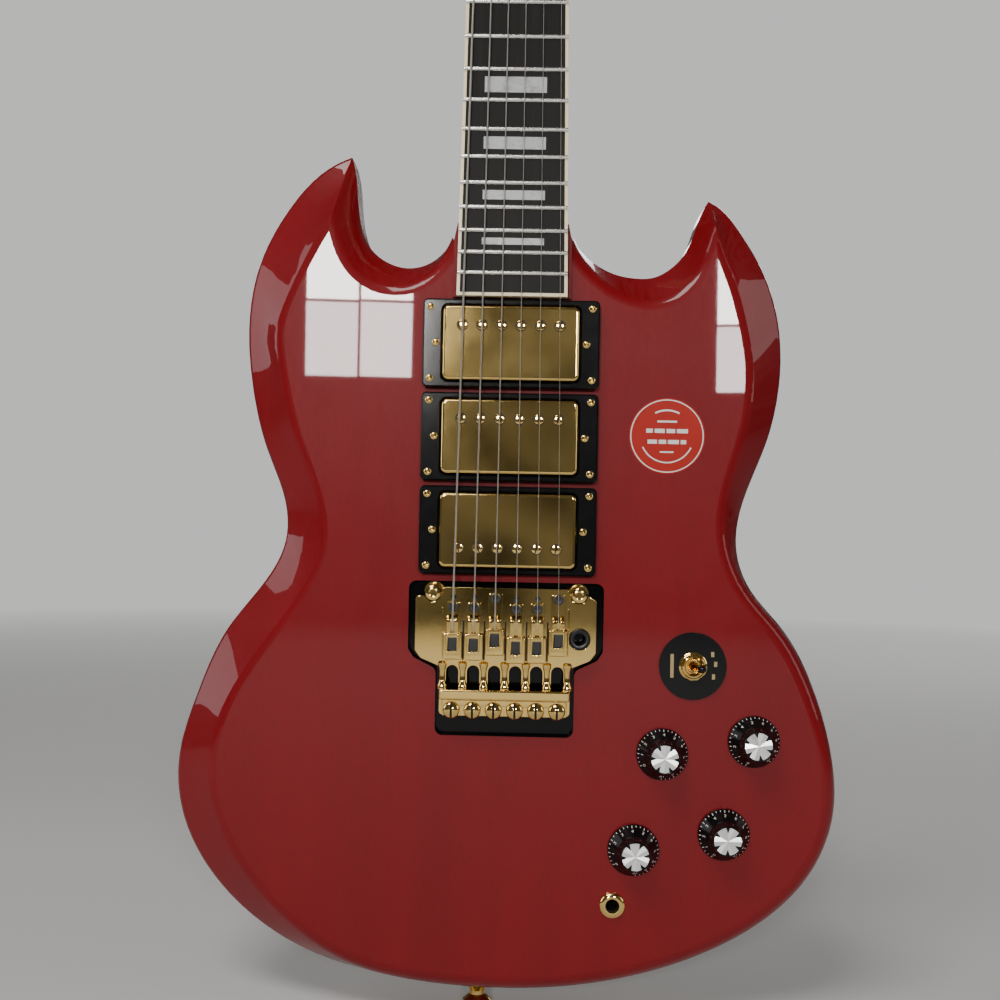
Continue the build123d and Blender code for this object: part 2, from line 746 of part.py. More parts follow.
# ---------------------------------------------------------------- pickups
with BuildPart() as pickup_rings:
    for z in pickup_zs:
        with BuildSketch(face_level(0)):
            with Locations((0, z)):
                RectangleRounded(ring_width, ring_length, 2.5)
                RectangleRounded(
                    cover_width + 2 * pickup_clearance, cover_length + 2 * pickup_clearance, 3,
                    mode=Mode.SUBTRACT,
                )
        extrude(amount=ring_height)
    chamfer(pickup_rings.faces().group_by(Axis.Y)[0].edges().filter_by(GeomType.LINE), 0.8)
    with BuildSketch(face_level(0)):
        with Locations(*corner_places):
            Circle(wood_screw_radius)
        with Locations(*height_places):
            Circle(height_screw_radius + 0.1)
    extrude(amount=ring_height, mode=Mode.SUBTRACT)
pickup_rings.part.label = "pickup_rings"
export_step(pickup_rings.part, "parts/pickup_rings.step")

with BuildPart() as face_screws:
    with BuildSketch(face_level(ring_height)):
        with Locations(*corner_places, *height_places):
            Circle(2.1)
    extrude(amount=1.3)
    with BuildSketch(face_level(ring_height)):
        with Locations(*corner_places):
            Circle(wood_screw_radius - hole_clearance)
    extrude(amount=-(ring_height + wood_screw_depth - 1))
    with BuildSketch(face_level(ring_height)):
        with Locations(*height_places):
            Circle(height_screw_radius)
    extrude(amount=-(ring_height + height_screw_reach))
    with BuildSketch(face_level(ring_height + 0.5)):
        with Locations(*corner_places, *height_places):
            Rectangle(0.6, 5)
    extrude(amount=1, mode=Mode.SUBTRACT)
face_screws.part.label = "face_screws"
export_step(face_screws.part, "parts/face_screws.step")

pickup_names = ("neck", "middle", "bridge")
pole_sides = (1, 1, -1)
for name, z, side in zip(pickup_names, pickup_zs, pole_sides):
    pole_places = [(spread(5 * pole_pitch, i), z + side * pole_offset) for i in range(6)]
    screw_places = ((-height_screw_x, z), (height_screw_x, z))
    with BuildPart() as pickup:
        # Pressed metal cover.
        with BuildSketch(face_level(-pickup_depth)):
            with Locations((0, z)):
                RectangleRounded(cover_width, cover_length, 3)
        extrude(amount=pickup_depth + cover_top)
        fillet(pickup.faces().sort_by(Axis.Y)[0].edges(), 1.5)
        with BuildSketch(face_level(-pickup_depth)):
            with Locations((0, z)):
                RectangleRounded(cover_width - 2 * cover_wall, cover_length - 2 * cover_wall, 2.4)
        extrude(amount=pickup_depth + cover_top - cover_wall, mode=Mode.SUBTRACT)
        with BuildSketch(face_level(0)):
            with Locations(*pole_places):
                Circle(pole_radius + 0.1)
        extrude(amount=cover_top + 1, mode=Mode.SUBTRACT)
        # Base plate with a leg at each end, and a spring standing on each leg.
        with BuildSketch(face_level(-pickup_depth - glue_gap)):
            with Locations((0, z)):
                RectangleRounded(cover_width, cover_length, 3)
                RectangleRounded(leg_width, leg_length, 3)
            with Locations(*screw_places):
                Circle(height_screw_radius + shaft_clearance, mode=Mode.SUBTRACT)
        extrude(amount=-1)
        with BuildSketch(face_level(-pickup_depth)):
            with Locations(*screw_places):
                Circle(2.5)
                Circle(1.7, mode=Mode.SUBTRACT)
        extrude(amount=pickup_depth - pickup_travel - 0.2)
        # Six adjustable pole screws.
        with BuildSketch(face_level(-2)):
            with Locations(*pole_places):
                Circle(pole_radius)
        extrude(amount=cover_top + 2 + 0.7)
    pickup.part.label = f"pickup_{name}"
    export_step(pickup.part, f"parts/pickup_{name}.step")

    with BuildPart() as coils:
        with BuildSketch(face_level(-pickup_depth + 0.1)):
            with Locations((0, z + pole_offset), (0, z - pole_offset)):
                RectangleRounded(cover_width - 4, 2 * pole_offset - 0.6, 6)
            with Locations(*pole_places):
                Circle(pole_radius + 0.1, mode=Mode.SUBTRACT)
        extrude(amount=pickup_depth + cover_top - cover_wall - 0.4)
    coils.part.label = f"coils_{name}"
    export_step(coils.part, f"parts/coils_{name}.step")

# ---------------------------------------------------------------- tremolo
with BuildPart() as tremolo_studs:
    with BuildSketch(face_level(-recess_depth)):
        with Locations(*stud_places):
            Circle(insert_radius)
    extrude(amount=-insert_length)
    with BuildSketch(face_level(-recess_depth)):
        with Locations(*stud_places):
            Circle(stud_radius)
    extrude(amount=recess_depth + stud_top)
    with BuildSketch(face_level(stud_top)):
        with Locations(*stud_places):
            RegularPolygon(1.7, 6)
    extrude(amount=-2, mode=Mode.SUBTRACT)
tremolo_studs.part.label = "tremolo_studs"
export_step(tremolo_studs.part, "parts/tremolo_studs.step")

plate_corners = (
    (-46, pivot_z - 1.5), (-46, 176), (-43, 172), (-33, 168), (-33, plate_tail_z),
    (33, plate_tail_z), (33, 168), (43, 172), (46, 176), (46, pivot_z - 1.5),
)
string_xs = [spread(string_spread_bridge, i) for i in range(6)]
with BuildPart() as tremolo_base_plate:
    with BuildSketch(face_level(plate_bottom)) as plate_edge:
        with BuildLine():
            Polyline(*plate_corners, close=True)
        make_face()
        fillet(plate_edge.vertices(), 2.5)
        with Locations(*stud_places):
            Circle(stud_radius + 0.6, mode=Mode.SUBTRACT)
        with Locations(*[(x, slot_z) for x in string_xs]):
            SlotOverall(slot_size[1], slot_size[0], rotation=90, mode=Mode.SUBTRACT)
        with Locations(arm_place):
            Circle(collar_radius + glue_gap, mode=Mode.SUBTRACT)
    extrude(amount=plate_thickness)
    # Raised cross bar, and the ledge that carries the fine tuners.
    with BuildSketch(face_level(plate_top)):
        with Locations((0, cross_bar_z)):
            Rectangle(66, cross_bar_length)
    extrude(amount=5)
    with BuildSketch(face_level(plate_top)):
        with Locations((0, (plate_tail_z + cross_bar_z - cross_bar_length / 2) / 2)):
            Rectangle(62, cross_bar_z - cross_bar_length / 2 - plate_tail_z)
    extrude(amount=ledge_height)
    with BuildSketch(face_level(0)):
        with Locations(*[(x, fine_tuner_z) for x in string_xs]):
            Circle(fine_tuner_radius + shaft_clearance)
    extrude(amount=plate_top + ledge_height, mode=Mode.SUBTRACT)
tremolo_base_plate.part.label = "tremolo_base_plate"
export_step(tremolo_base_plate.part, "parts/tremolo_base_plate.step")

with BuildPart() as arm_collar:
    with BuildSketch(face_level(collar_bottom)):
        with Locations(arm_place):
            Circle(collar_radius)
            Circle(arm_radius, mode=Mode.SUBTRACT)
    extrude(amount=collar_top - collar_bottom)
arm_collar.part.label = "arm_collar"
export_step(arm_collar.part, "parts/arm_collar.step")

with BuildPart() as sustain_block:
    with BuildSketch(face_level(plate_bottom - glue_gap)):
        with Locations((0, (block_z[0] + block_z[1]) / 2)):
            RectangleRounded(62, block_z[1] - block_z[0], 1)
    extrude(amount=-(plate_bottom + block_reach))
sustain_block.part.label = "sustain_block"
export_step(sustain_block.part, "parts/sustain_block.step")

with BuildPart() as saddles:
    for x, lock_z in zip(string_xs, lock_places):
        back_z = lock_z - 8
        with BuildSketch(face_level(plate_top)):
            with Locations((x, back_z)):
                Rectangle(saddle_width, bridge_z - back_z, align=(Align.CENTER, Align.MIN))
        extrude(amount=saddle_height)
        # Narrow tongue towards the pickups, lower than the string.
        with BuildSketch(face_level(plate_top)):
            with Locations((x, bridge_z)):
                Rectangle(5, 9, align=(Align.CENTER, Align.MIN))
        extrude(amount=2)
        # Crest under the string, and the pocket of the lock block.
        with BuildSketch(face_level(plate_top + saddle_height)):
            with Locations((x, bridge_z)):
                Rectangle(6, 4, align=(Align.CENTER, Align.MAX))
        extrude(amount=string_height_bridge + 0.8 - plate_top - saddle_height)
        with BuildSketch(face_level(plate_top + 1)):
            with Locations((x, lock_z)):
                Rectangle(lock_size[0] + 0.1, lock_size[1] + 0.1)
        extrude(amount=20, mode=Mode.SUBTRACT)
saddles.part.label = "saddles"
export_step(saddles.part, "parts/saddles.step")

with BuildPart() as string_locks:
    with BuildSketch(face_level(plate_top + 1)):
        with Locations(*zip(string_xs, lock_places)):
            Rectangle(*lock_size)
    extrude(amount=saddle_height)
string_locks.part.label = "string_locks"
export_step(string_locks.part, "parts/string_locks.step")

ledge_top = plate_top + ledge_height
for index, x in enumerate(string_xs):
    with BuildPart() as fine_tuner:
        with BuildSketch(face_level(ledge_top + 0.1)):
            with Locations((x, fine_tuner_z)):
                Circle(4.3)
        extrude(amount=2.2)
        fillet(fine_tuner.edges().filter_by(GeomType.CIRCLE).sort_by(Axis.Y)[0], 1.8)
        with BuildSketch(face_level(ledge_top + 1.2)):
            with Locations((x, fine_tuner_z)):
                Rectangle(1.0, 10)
        extrude(amount=3, mode=Mode.SUBTRACT)
        with BuildSketch(face_level(ledge_top + 0.1)):
            with Locations((x, fine_tuner_z)):
                Circle(fine_tuner_radius)
        extrude(amount=-(ledge_height + plate_thickness + 0.4))
    fine_tuner.part.label = f"fine_tuner_{index + 1}"
    export_step(fine_tuner.part, f"parts/fine_tuner_{index + 1}.step")

spring_y = half_thickness - spring_inset
with BuildPart() as tremolo_springs:
    with BuildSketch(Plane.XY.offset(block_z[1])):
        with Locations(*[(x, spring_y) for x in spring_places]):
            Circle(spring_radius)
            Circle(spring_radius - 1.2, mode=Mode.SUBTRACT)
    extrude(amount=claw_z - block_z[1])
tremolo_springs.part.label = "tremolo_springs"
export_step(tremolo_springs.part, "parts/tremolo_springs.step")

with BuildPart() as spring_claw:
    with BuildSketch(Plane.XY.offset(claw_z)):
        with Locations((0, spring_y)):
            RectangleRounded(54, 9, 1)
        with Locations(*claw_screw_places):
            Circle(claw_screw_radius, mode=Mode.SUBTRACT)
    extrude(amount=2)
spring_claw.part.label = "spring_claw"
export_step(spring_claw.part, "parts/spring_claw.step")

# ---------------------------------------------------------------- strings
with BuildPart() as strings:
    for index, radius in enumerate(string_radii):
        low = Vector(string_xs[index], -half_thickness - string_height_bridge, bridge_z)
        high = Vector(spread(string_spread_nut, index), -half_thickness - string_height_nut, nut_z)
        with BuildSketch(Plane(origin=low, z_dir=high - low)):
            Circle(radius)
        extrude(amount=(high - low).length)
strings.part.label = "strings"
export_step(strings.part, "parts/strings.step")

with BuildPart() as string_ends:
    for index, radius in enumerate(string_radii):
        x, y = tuner_places[string_tuners[index]]
        start = Vector(spread(string_spread_nut, index), -half_thickness - string_height_nut, nut_z)
        leave = start + Vector(0, 0, nut_length)
        inner = (x - math.copysign(post_radius + radius + 0.1, x), y)
        post = (head_base * Pos(*inner, string_post_level)).position
        with BuildSketch(Plane(origin=start, z_dir=(0, 0, 1))):
            Circle(radius)
        extrude(amount=nut_length)
        with BuildSketch(Plane(origin=leave, z_dir=post - leave)):
            Circle(radius)
        extrude(amount=(post - leave).length)
string_ends.part.label = "string_ends"
export_step(string_ends.part, "parts/string_ends.step")

# ---------------------------------------------------------------- controls
with BuildPart() as control_pots:
    with BuildSketch(face_level(-top_thickness)):
        with Locations(*knob_places):
            Circle(pot_radius)
    extrude(amount=-9)
    with BuildSketch(face_level(-top_thickness)):
        with Locations(*knob_places):
            Circle(bushing_radius)
    extrude(amount=top_thickness + 2.6)
    with BuildSketch(face_level(0)):
        with Locations(*knob_places):
            RegularPolygon(6.6, 6)
    extrude(amount=2)
    with BuildSketch(face_level(0)):
        with Locations(*knob_places):
            Circle(pot_shaft_radius)
    extrude(amount=knob_height - 3)
control_pots.part.label = "control_pots"
export_step(control_pots.part, "parts/control_pots.step")

for index, (x, z) in enumerate(knob_places):
    with BuildPart() as knob:
        with BuildSketch(lathe_plane(x, z)):
            with BuildLine():
                Polyline(
                    (0, knob_height),
                    (knob_cap_radius - 0.6, knob_height),
                    (knob_cap_radius, knob_height - 0.6),
                    (knob_cap_radius + 1.1, 6.5),
                    (knob_radius - 0.6, 3.2),
                    (knob_radius, 2.4),
                    (knob_radius, knob_gap),
                    (8.5, knob_gap),
                    (8.5, 4),
                    (pot_shaft_radius + shaft_clearance, 4),
                    (pot_shaft_radius + shaft_clearance, knob_height - 2),
                    (0, knob_height - 2),
                    close=True,
                )
            make_face()
        revolve(axis=Axis((x, 0, z), (0, 1, 0)))
    knob.part.label = f"knob_{index + 1}"
    export_step(knob.part, f"parts/knob_{index + 1}.step")

with BuildPart() as toggle_plate:
    with BuildSketch(face_level(0)):
        with Locations(toggle_place):
            Circle(toggle_plate_radius)
            Circle(toggle_bushing_radius + hole_clearance, mode=Mode.SUBTRACT)
    extrude(amount=toggle_plate_thickness)
toggle_plate.part.label = "toggle_plate"
export_step(toggle_plate.part, "parts/toggle_plate.step")

with BuildPart() as toggle_switch:
    with BuildSketch(face_level(-top_thickness)):
        with Locations(toggle_place):
            Rectangle(13, 30)
    extrude(amount=-18)
    with BuildSketch(face_level(-top_thickness)):
        with Locations(toggle_place):
            Circle(toggle_bushing_radius)
    extrude(amount=top_thickness + toggle_plate_thickness + 1)
    # Domed nut with a dished mouth round the lever.
    with BuildSketch(face_level(toggle_plate_thickness)):
        with Locations(toggle_place):
            Circle(toggle_nut_radius)
    extrude(amount=3.2, taper=14)
    with BuildSketch(face_level(toggle_plate_thickness + 3.2)):
        with Locations(toggle_place):
            Circle(toggle_mouth_radius)
    extrude(amount=-(top_thickness + toggle_plate_thickness + 5), mode=Mode.SUBTRACT)
toggle_switch.part.label = "toggle_switch"
export_step(toggle_switch.part, "parts/toggle_switch.step")

lean = math.radians(toggle_tilt)
lever_base = Plane(
    origin=(toggle_place[0], -half_thickness, toggle_place[1]),
    x_dir=(math.cos(lean), math.sin(lean), 0),
    z_dir=(math.sin(lean), -math.cos(lean), 0),
)
with BuildPart() as toggle_lever:
    with BuildSketch(lever_base.offset(-4)):
        Circle(1.5)
    extrude(amount=12)
    with BuildSketch(lever_base.offset(7)):
        Circle(2.0)
    extrude(amount=11, taper=-5)
    fillet(toggle_lever.edges().filter_by(GeomType.CIRCLE).sort_by(Axis.Y)[0], 2)
toggle_lever.part.label = "toggle_lever"
export_step(toggle_lever.part, "parts/toggle_lever.step")

with BuildPart() as output_jack:
    with BuildSketch(face_level(-top_thickness)):
        with Locations(jack_place):
            Circle(9)
    extrude(amount=-18)
    with BuildSketch(face_level(-top_thickness)):
        with Locations(jack_place):
            Circle(bushing_radius)
    extrude(amount=top_thickness + jack_top)
    with BuildSketch(face_level(0)):
        with Locations(jack_place):
            Circle(6.6)
    extrude(amount=jack_top - 0.6)
    with BuildSketch(face_level(jack_top)):
        with Locations(jack_place):
            Circle(jack_bore)
    extrude(amount=-jack_bore_length, mode=Mode.SUBTRACT)
output_jack.part.label = "output_jack"
export_step(output_jack.part, "parts/output_jack.step")

# ---------------------------------------------------------------- back covers, rear screws, buttons
with BuildPart() as cavity_covers:
    with BuildSketch(back_level(0)):
        with Locations((0, spring_cavity_z)):
            RectangleRounded(spring_cover[0] - 2 * cover_gap, spring_cover[1] - 2 * cover_gap, 6)
        with Locations((0, block_hole_z + 4)):
            SlotOverall(50, 12, mode=Mode.SUBTRACT)
    extrude(amount=cover_plate_thickness)
    with BuildSketch(back_level(0)) as control_cover:
        with BuildLine():
            Polyline(*control_corners, close=True)
        make_face()
        fillet(control_cover.vertices(), 8)
        offset(amount=cover_margin - cover_gap)
    extrude(amount=cover_plate_thickness)
    with BuildSketch(back_level(0)):
        with Locations(*cover_screw_places):
            Circle(wood_screw_radius)
    extrude(amount=cover_plate_thickness, mode=Mode.SUBTRACT)
cavity_covers.part.label = "cavity_covers"
export_step(cavity_covers.part, "parts/cavity_covers.step")

with BuildPart() as rear_screws:
    with BuildSketch(back_level(0)):
        with Locations(*cover_screw_places):
            Circle(2.6)
    extrude(amount=-1)
    with BuildSketch(back_level(0)):
        with Locations(*cover_screw_places):
            Circle(wood_screw_radius - hole_clearance)
    extrude(amount=wood_screw_depth - 1)
    # Long screws of the spring claw.
    with BuildSketch(Plane.XY.offset(claw_z)):
        with Locations(*claw_screw_places):
            Circle(3.4)
    extrude(amount=-2.5)
    with BuildSketch(Plane.XY.offset(claw_z)):
        with Locations(*claw_screw_places):
            Circle(claw_screw_radius - hole_clearance)
    extrude(amount=claw_screw_length - 2)
rear_screws.part.label = "rear_screws"
export_step(rear_screws.part, "parts/rear_screws.step")

with BuildPart() as strap_buttons:
    with BuildSketch(Plane(origin=(tail_button_x, 0, 0), x_dir=(1, 0, 0), z_dir=(0, -1, 0))):
        with BuildLine():
            Polyline(
                (0, button_screw_length - 1),
                (button_screw_radius - hole_clearance, button_screw_length - 1),
                (button_screw_radius - hole_clearance, -glue_gap),
                (6.5, -glue_gap),
                (4, -4),
                (4, -6),
                (7.5, -9),
                (7.5, -10.5),
                (0, -10.5),
                close=True,
            )
        make_face()
    revolve(axis=Axis((tail_button_x, 0, 0), (0, 0, 1)))
    with BuildSketch(Plane(origin=(0, half_thickness, back_button_z), x_dir=(1, 0, 0), z_dir=(0, 0, 1))):
        with BuildLine():
            Polyline(
                (0, 1 - button_screw_length),
                (button_screw_radius - hole_clearance, 1 - button_screw_length),
                (button_screw_radius - hole_clearance, 0),
                (6.5, 0),
                (4, 4),
                (4, 6),
                (7.5, 9),
                (7.5, 10.5),
                (0, 10.5),
                close=True,
            )
        make_face()
    revolve(axis=Axis((0, 0, back_button_z), (0, 1, 0)))
strap_buttons.part.label = "strap_buttons"
export_step(strap_buttons.part, "parts/strap_buttons.step")
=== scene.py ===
# %% [markdown]
# An electric guitar, dressed on top of its engineering model.
# The model gives every part its place and size. This script gives each part its finish, and replaces the
# parts whose real shape is richer than the plain solid that stands for them.
# X runs across the strings, Y from the face to the back, Z up the neck, all in metres.

# %% Load the engineering model
import json
import math

import bmesh
import bpy
from mathutils import Matrix, Vector

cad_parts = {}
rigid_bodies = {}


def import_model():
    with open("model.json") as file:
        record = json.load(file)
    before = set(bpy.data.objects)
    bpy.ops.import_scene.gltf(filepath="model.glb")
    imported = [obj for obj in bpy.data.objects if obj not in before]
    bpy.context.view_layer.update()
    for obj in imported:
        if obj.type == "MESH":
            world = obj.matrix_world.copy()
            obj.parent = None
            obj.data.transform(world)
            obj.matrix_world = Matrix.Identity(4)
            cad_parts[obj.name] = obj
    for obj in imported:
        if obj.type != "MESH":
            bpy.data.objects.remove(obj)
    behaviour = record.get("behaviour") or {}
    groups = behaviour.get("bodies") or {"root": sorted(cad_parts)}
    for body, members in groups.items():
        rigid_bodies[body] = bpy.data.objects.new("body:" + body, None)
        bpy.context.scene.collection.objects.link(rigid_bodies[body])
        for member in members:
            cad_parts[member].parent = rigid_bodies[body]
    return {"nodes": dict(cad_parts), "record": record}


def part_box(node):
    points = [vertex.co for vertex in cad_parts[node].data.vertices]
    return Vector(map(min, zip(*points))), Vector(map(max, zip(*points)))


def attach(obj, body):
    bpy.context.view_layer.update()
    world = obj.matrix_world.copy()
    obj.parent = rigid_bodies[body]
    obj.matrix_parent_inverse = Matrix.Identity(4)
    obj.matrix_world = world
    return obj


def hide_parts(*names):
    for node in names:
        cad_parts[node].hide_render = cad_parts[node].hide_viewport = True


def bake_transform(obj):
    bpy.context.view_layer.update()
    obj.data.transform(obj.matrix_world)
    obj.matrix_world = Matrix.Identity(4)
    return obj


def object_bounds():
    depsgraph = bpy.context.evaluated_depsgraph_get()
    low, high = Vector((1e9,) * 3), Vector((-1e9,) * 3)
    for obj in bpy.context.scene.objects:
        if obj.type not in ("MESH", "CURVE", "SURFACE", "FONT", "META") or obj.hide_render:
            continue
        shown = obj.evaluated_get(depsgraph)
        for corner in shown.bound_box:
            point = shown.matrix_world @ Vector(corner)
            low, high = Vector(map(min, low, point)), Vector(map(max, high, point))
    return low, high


for leftover in list(bpy.data.objects):
    bpy.data.objects.remove(leftover, do_unlink=True)
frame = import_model()
model_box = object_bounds()
nodes = frame["nodes"]
record = frame["record"]

# %% [markdown]
# ## Where things are
# Places are read from the boxes and joints of the model wherever it can give them. What it can't give,
# such as the height of a string or the outline of a plate, is named in millimetres where it is used.

# %% Places read from the model
MM = 0.001
face_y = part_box("pickup_rings")[1].y
board_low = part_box("binding")[0]
nut_low, nut_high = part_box("nut_base")
joint = {item["name"]: item for item in record["behaviour"]["joints"]}


def joint_place(name):
    """The point on a joint's axis, as the record gives it."""
    return Vector(joint[name]["pos_m"])


def joint_axis(name):
    return Vector(joint[name]["axis"]).normalized()


print("face at y", round(face_y, 4), "nut at z", round(nut_low.z, 4))

# %% [markdown]
# ## Frames to work in
# A part on the body is easiest to draw with its height pointing out of the face. A part on the headstock
# is drawn the same way on the tilted headstock. Each helper returns the matrix that puts such a drawing
# in its place: local X stays across, local Y runs up the neck, local Z is the height. A shape that is
# set out on many points is drawn in the same directions at the origin.

# %% Working frames
across_face, up_neck, out_of_face = Vector((1, 0, 0)), Vector((0, 0, 1)), Vector((0, -1, 0))
head_normal = joint_axis("tuner_post_1_turn")
head_up = across_face.cross(head_normal) * -1


def basis(right, up, out, origin):
    """Matrix with these columns, at this origin."""
    matrix = Matrix((right, up, out)).transposed().to_4x4()
    matrix.translation = origin
    return matrix


def on_face(x, z):
    """Working frame on the body's face."""
    return basis(across_face, up_neck, out_of_face, Vector((x, face_y, z)))


def on_head(post):
    """Working frame on the headstock, round one tuner post."""
    return basis(across_face, head_up, head_normal, joint_place(f"tuner_post_{post}_turn"))


upright = basis(across_face, up_neck, out_of_face, Vector((0, 0, 0)))
print("headstock tilt", round(math.degrees(math.asin(head_normal.z)), 1), "degrees")

# %% [markdown]
# ## Shader maths written as Python
# A material is a small program of nodes. Writing it as `1 - mask * 0.4` is easier to read than placing
# nodes one by one, so a tiny class wraps a socket and turns each operator into its Math node.
# Every other node comes from one method, which takes the node's settings first and its sockets second.

# %% Socket values and finishes
class Value:
    """A number or colour that varies over a surface."""

    def __init__(self, finish, socket):
        self.finish = finish
        self.socket = socket

    def maths(self, operation, *others):
        inputs = {index: item for index, item in enumerate((self, *others))}
        return self.finish.node("ShaderNodeMath", {"operation": operation}, inputs)

    def __add__(self, other):
        return self.maths("ADD", other)

    def __mul__(self, other):
        return self.maths("MULTIPLY", other)

    def __rsub__(self, other):
        return self.finish.node("ShaderNodeMath", {"operation": "SUBTRACT"}, {0: other, 1: self})

    def __truediv__(self, other):
        return self.maths("DIVIDE", other)

    def __gt__(self, other):
        return self.maths("GREATER_THAN", other)

    def __lt__(self, other):
        return self.maths("LESS_THAN", other)

    __radd__ = __add__


class Finish:
    """One material, with its Principled shader ready."""

    def __init__(self, name, **shader):
        self.material = bpy.data.materials.new(name)
        self.material.use_nodes = True
        self.tree = self.material.node_tree
        self.shader = self.tree.nodes["Principled BSDF"]
        for socket, value in shader.items():
            self.shader.inputs[socket.replace("_", " ")].default_value = value

    def node(self, kind, settings=None, inputs=None, output=0):
        """Adds a node. Settings come first, then values and links, and one output is returned."""
        made = self.tree.nodes.new(kind)
        for name, value in (settings or {}).items():
            if name == "stops":
                ramp = made.color_ramp.elements
                while len(ramp) < len(value):
                    ramp.new(0.5)
                for stop, (place, colour) in zip(ramp, value):
                    stop.position = place
                    stop.color = colour
            else:
                setattr(made, name, value)
        for name, value in (inputs or {}).items():
            if isinstance(value, Value):
                self.tree.links.new(value.socket, made.inputs[name])
            else:
                made.inputs[name].default_value = value
        return Value(self, made.outputs[output])

    def place(self):
        """Object coordinates, which equal the guitar's own X, Y and Z."""
        return self.node("ShaderNodeTexCoord", output="Object")

    def stretched(self, scale, vector=None):
        """Object coordinates scaled differently along each direction."""
        inputs = {"Vector": vector or self.place(), "Scale": scale}
        return self.node("ShaderNodeMapping", None, inputs)

    def split(self):
        """X, Y and Z as three numbers."""
        made = self.tree.nodes.new("ShaderNodeSeparateXYZ")
        self.tree.links.new(self.place().socket, made.inputs[0])
        return [Value(self, output) for output in made.outputs]

    def noise(self, vector, scale, detail=3.0, roughness=0.55, distortion=0.0):
        inputs = {"Vector": vector, "Scale": scale, "Detail": detail, "Roughness": roughness,
                  "Distortion": distortion}
        return self.node("ShaderNodeTexNoise", None, inputs, "Fac")

    def ramp(self, value, stops, output="Color"):
        stops = [(place, (*colour, 1.0) if isinstance(colour, tuple) else (colour, colour, colour, 1.0))
                 for place, colour in stops]
        return self.node("ShaderNodeValToRGB", {"stops": stops}, {"Fac": value}, output)

    def mix(self, share, first, second, kind="MIX"):
        """Colour mix. A plain tuple is a colour."""
        pick = [item if isinstance(item, Value) else (*item, 1.0) for item in (first, second)]
        settings = {"data_type": "RGBA", "blend_type": kind}
        return self.node("ShaderNodeMix", settings, {0: share, 6: pick[0], 7: pick[1]}, 2)

    def bump(self, height, distance, strength=1.0):
        inputs = {"Height": height, "Distance": distance, "Strength": strength}
        return self.node("ShaderNodeBump", None, inputs, "Normal")

    def set(self, **links):
        """Links values to sockets of the shader, such as Base_Color."""
        for socket, value in links.items():
            self.tree.links.new(value.socket, self.shader.inputs[socket.replace("_", " ")])
        return self


finishes = {}


def finish(name, **shader):
    finishes[name] = Finish(name, **shader)
    return finishes[name]


# %% [markdown]
# ## Cherry lacquer over mahogany
# Mahogany has short dark pores and a soft stripe, both running up the guitar. The red is a dye under a
# thick clear coat, so the grain sits in the colour while the coat on top stays mirror smooth.
# The tremolo's recess is painted black before the coat: a mask made from plain coordinates picks it out.
# The front of the headstock has a black veneer, picked out in the same way by its own tilted plane.

# %% Lacquered mahogany
def mahogany(name, shade=1.0):
    red = finish(name, Roughness=0.38, Specular_IOR_Level=0.12, Coat_Weight=1.0, Coat_Roughness=0.018,
                 Coat_IOR=1.34)
    stripe = red.noise(red.stretched((42.0, 42.0, 3.2)), 1.0, 4.0, 0.6, 0.4)
    pores = red.noise(red.stretched((2600.0, 2600.0, 190.0)), 1.0, 2.0, 0.5)
    cloud = red.noise(red.stretched((9.0, 9.0, 5.0)), 1.0, 2.0)
    deep = tuple(shade * part for part in (0.120, 0.0018, 0.0042))
    bright = tuple(shade * part for part in (0.215, 0.0040, 0.0076))
    dye = red.mix(stripe * 0.6 + cloud * 0.4, deep, bright)
    pore_mask = red.ramp(pores, [(0.56, 0.0), (0.68, 1.0)])
    dye = red.mix(pore_mask * 0.25, dye, tuple(shade * part for part in (0.075, 0.003, 0.005)))
    roughness = 0.34 + pores * 0.14
    return red, dye, roughness


recess_low, recess_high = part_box("tremolo_base_plate")
recess_half_width, recess_depth = 50.5 * MM, 16 * MM
reach_below, reach_above = 12.5 * MM, 8.5 * MM
red_body, dye, roughness = mahogany("cherry_lacquer")
x, y, z = red_body.split()
depth = (y > face_y + 0.1 * MM) * (y < face_y + recess_depth)
sideways = (x > -recess_half_width) * (x < recess_half_width)
lengthways = (z > recess_low.z - reach_below) * (z < recess_high.z + reach_above)
painted = depth * sideways * lengthways
dye = red_body.mix(painted, dye, (0.003, 0.003, 0.0035))
red_body.set(Base_Color=dye, Roughness=roughness * (1 - painted * 0.75), Coat_Weight=1 - painted * 0.6)

red_neck, dye, roughness = mahogany("cherry_lacquer_neck", 0.86)
x, y, z = red_neck.split()
veneer_level = head_normal.dot(Vector((0, board_low.y + 6 * MM, nut_high.z)))
veneer = (y * head_normal.y + z * head_normal.z > veneer_level - 0.7 * MM) * (z > nut_high.z + 1.5 * MM)
dye = red_neck.mix(veneer, dye, (0.004, 0.004, 0.0045))
red_neck.set(Base_Color=dye, Roughness=roughness)
print("lacquer on body and neck")

# %% [markdown]
# ## Gold plating
# Plated parts are polished first, so the gold is nearly a mirror. What makes it look real is the faint
# unevenness of the polishing and the slightly redder tone where the plating is thin.

# %% Gold, steel and black metal
def plated(name, light, dark, roughness, wander=0.00004, metallic=1.0):
    metal = finish(name, Metallic=metallic)
    cloud = metal.noise(metal.place(), 60.0, 4.0)
    fine = metal.noise(metal.place(), 900.0, 3.0)
    tone = metal.mix(cloud, dark, light)
    rough = roughness + cloud * 0.05 + fine * 0.02
    metal.set(Base_Color=tone, Roughness=rough, Normal=metal.bump(cloud + fine * 0.04, wander, 0.2))
    return metal


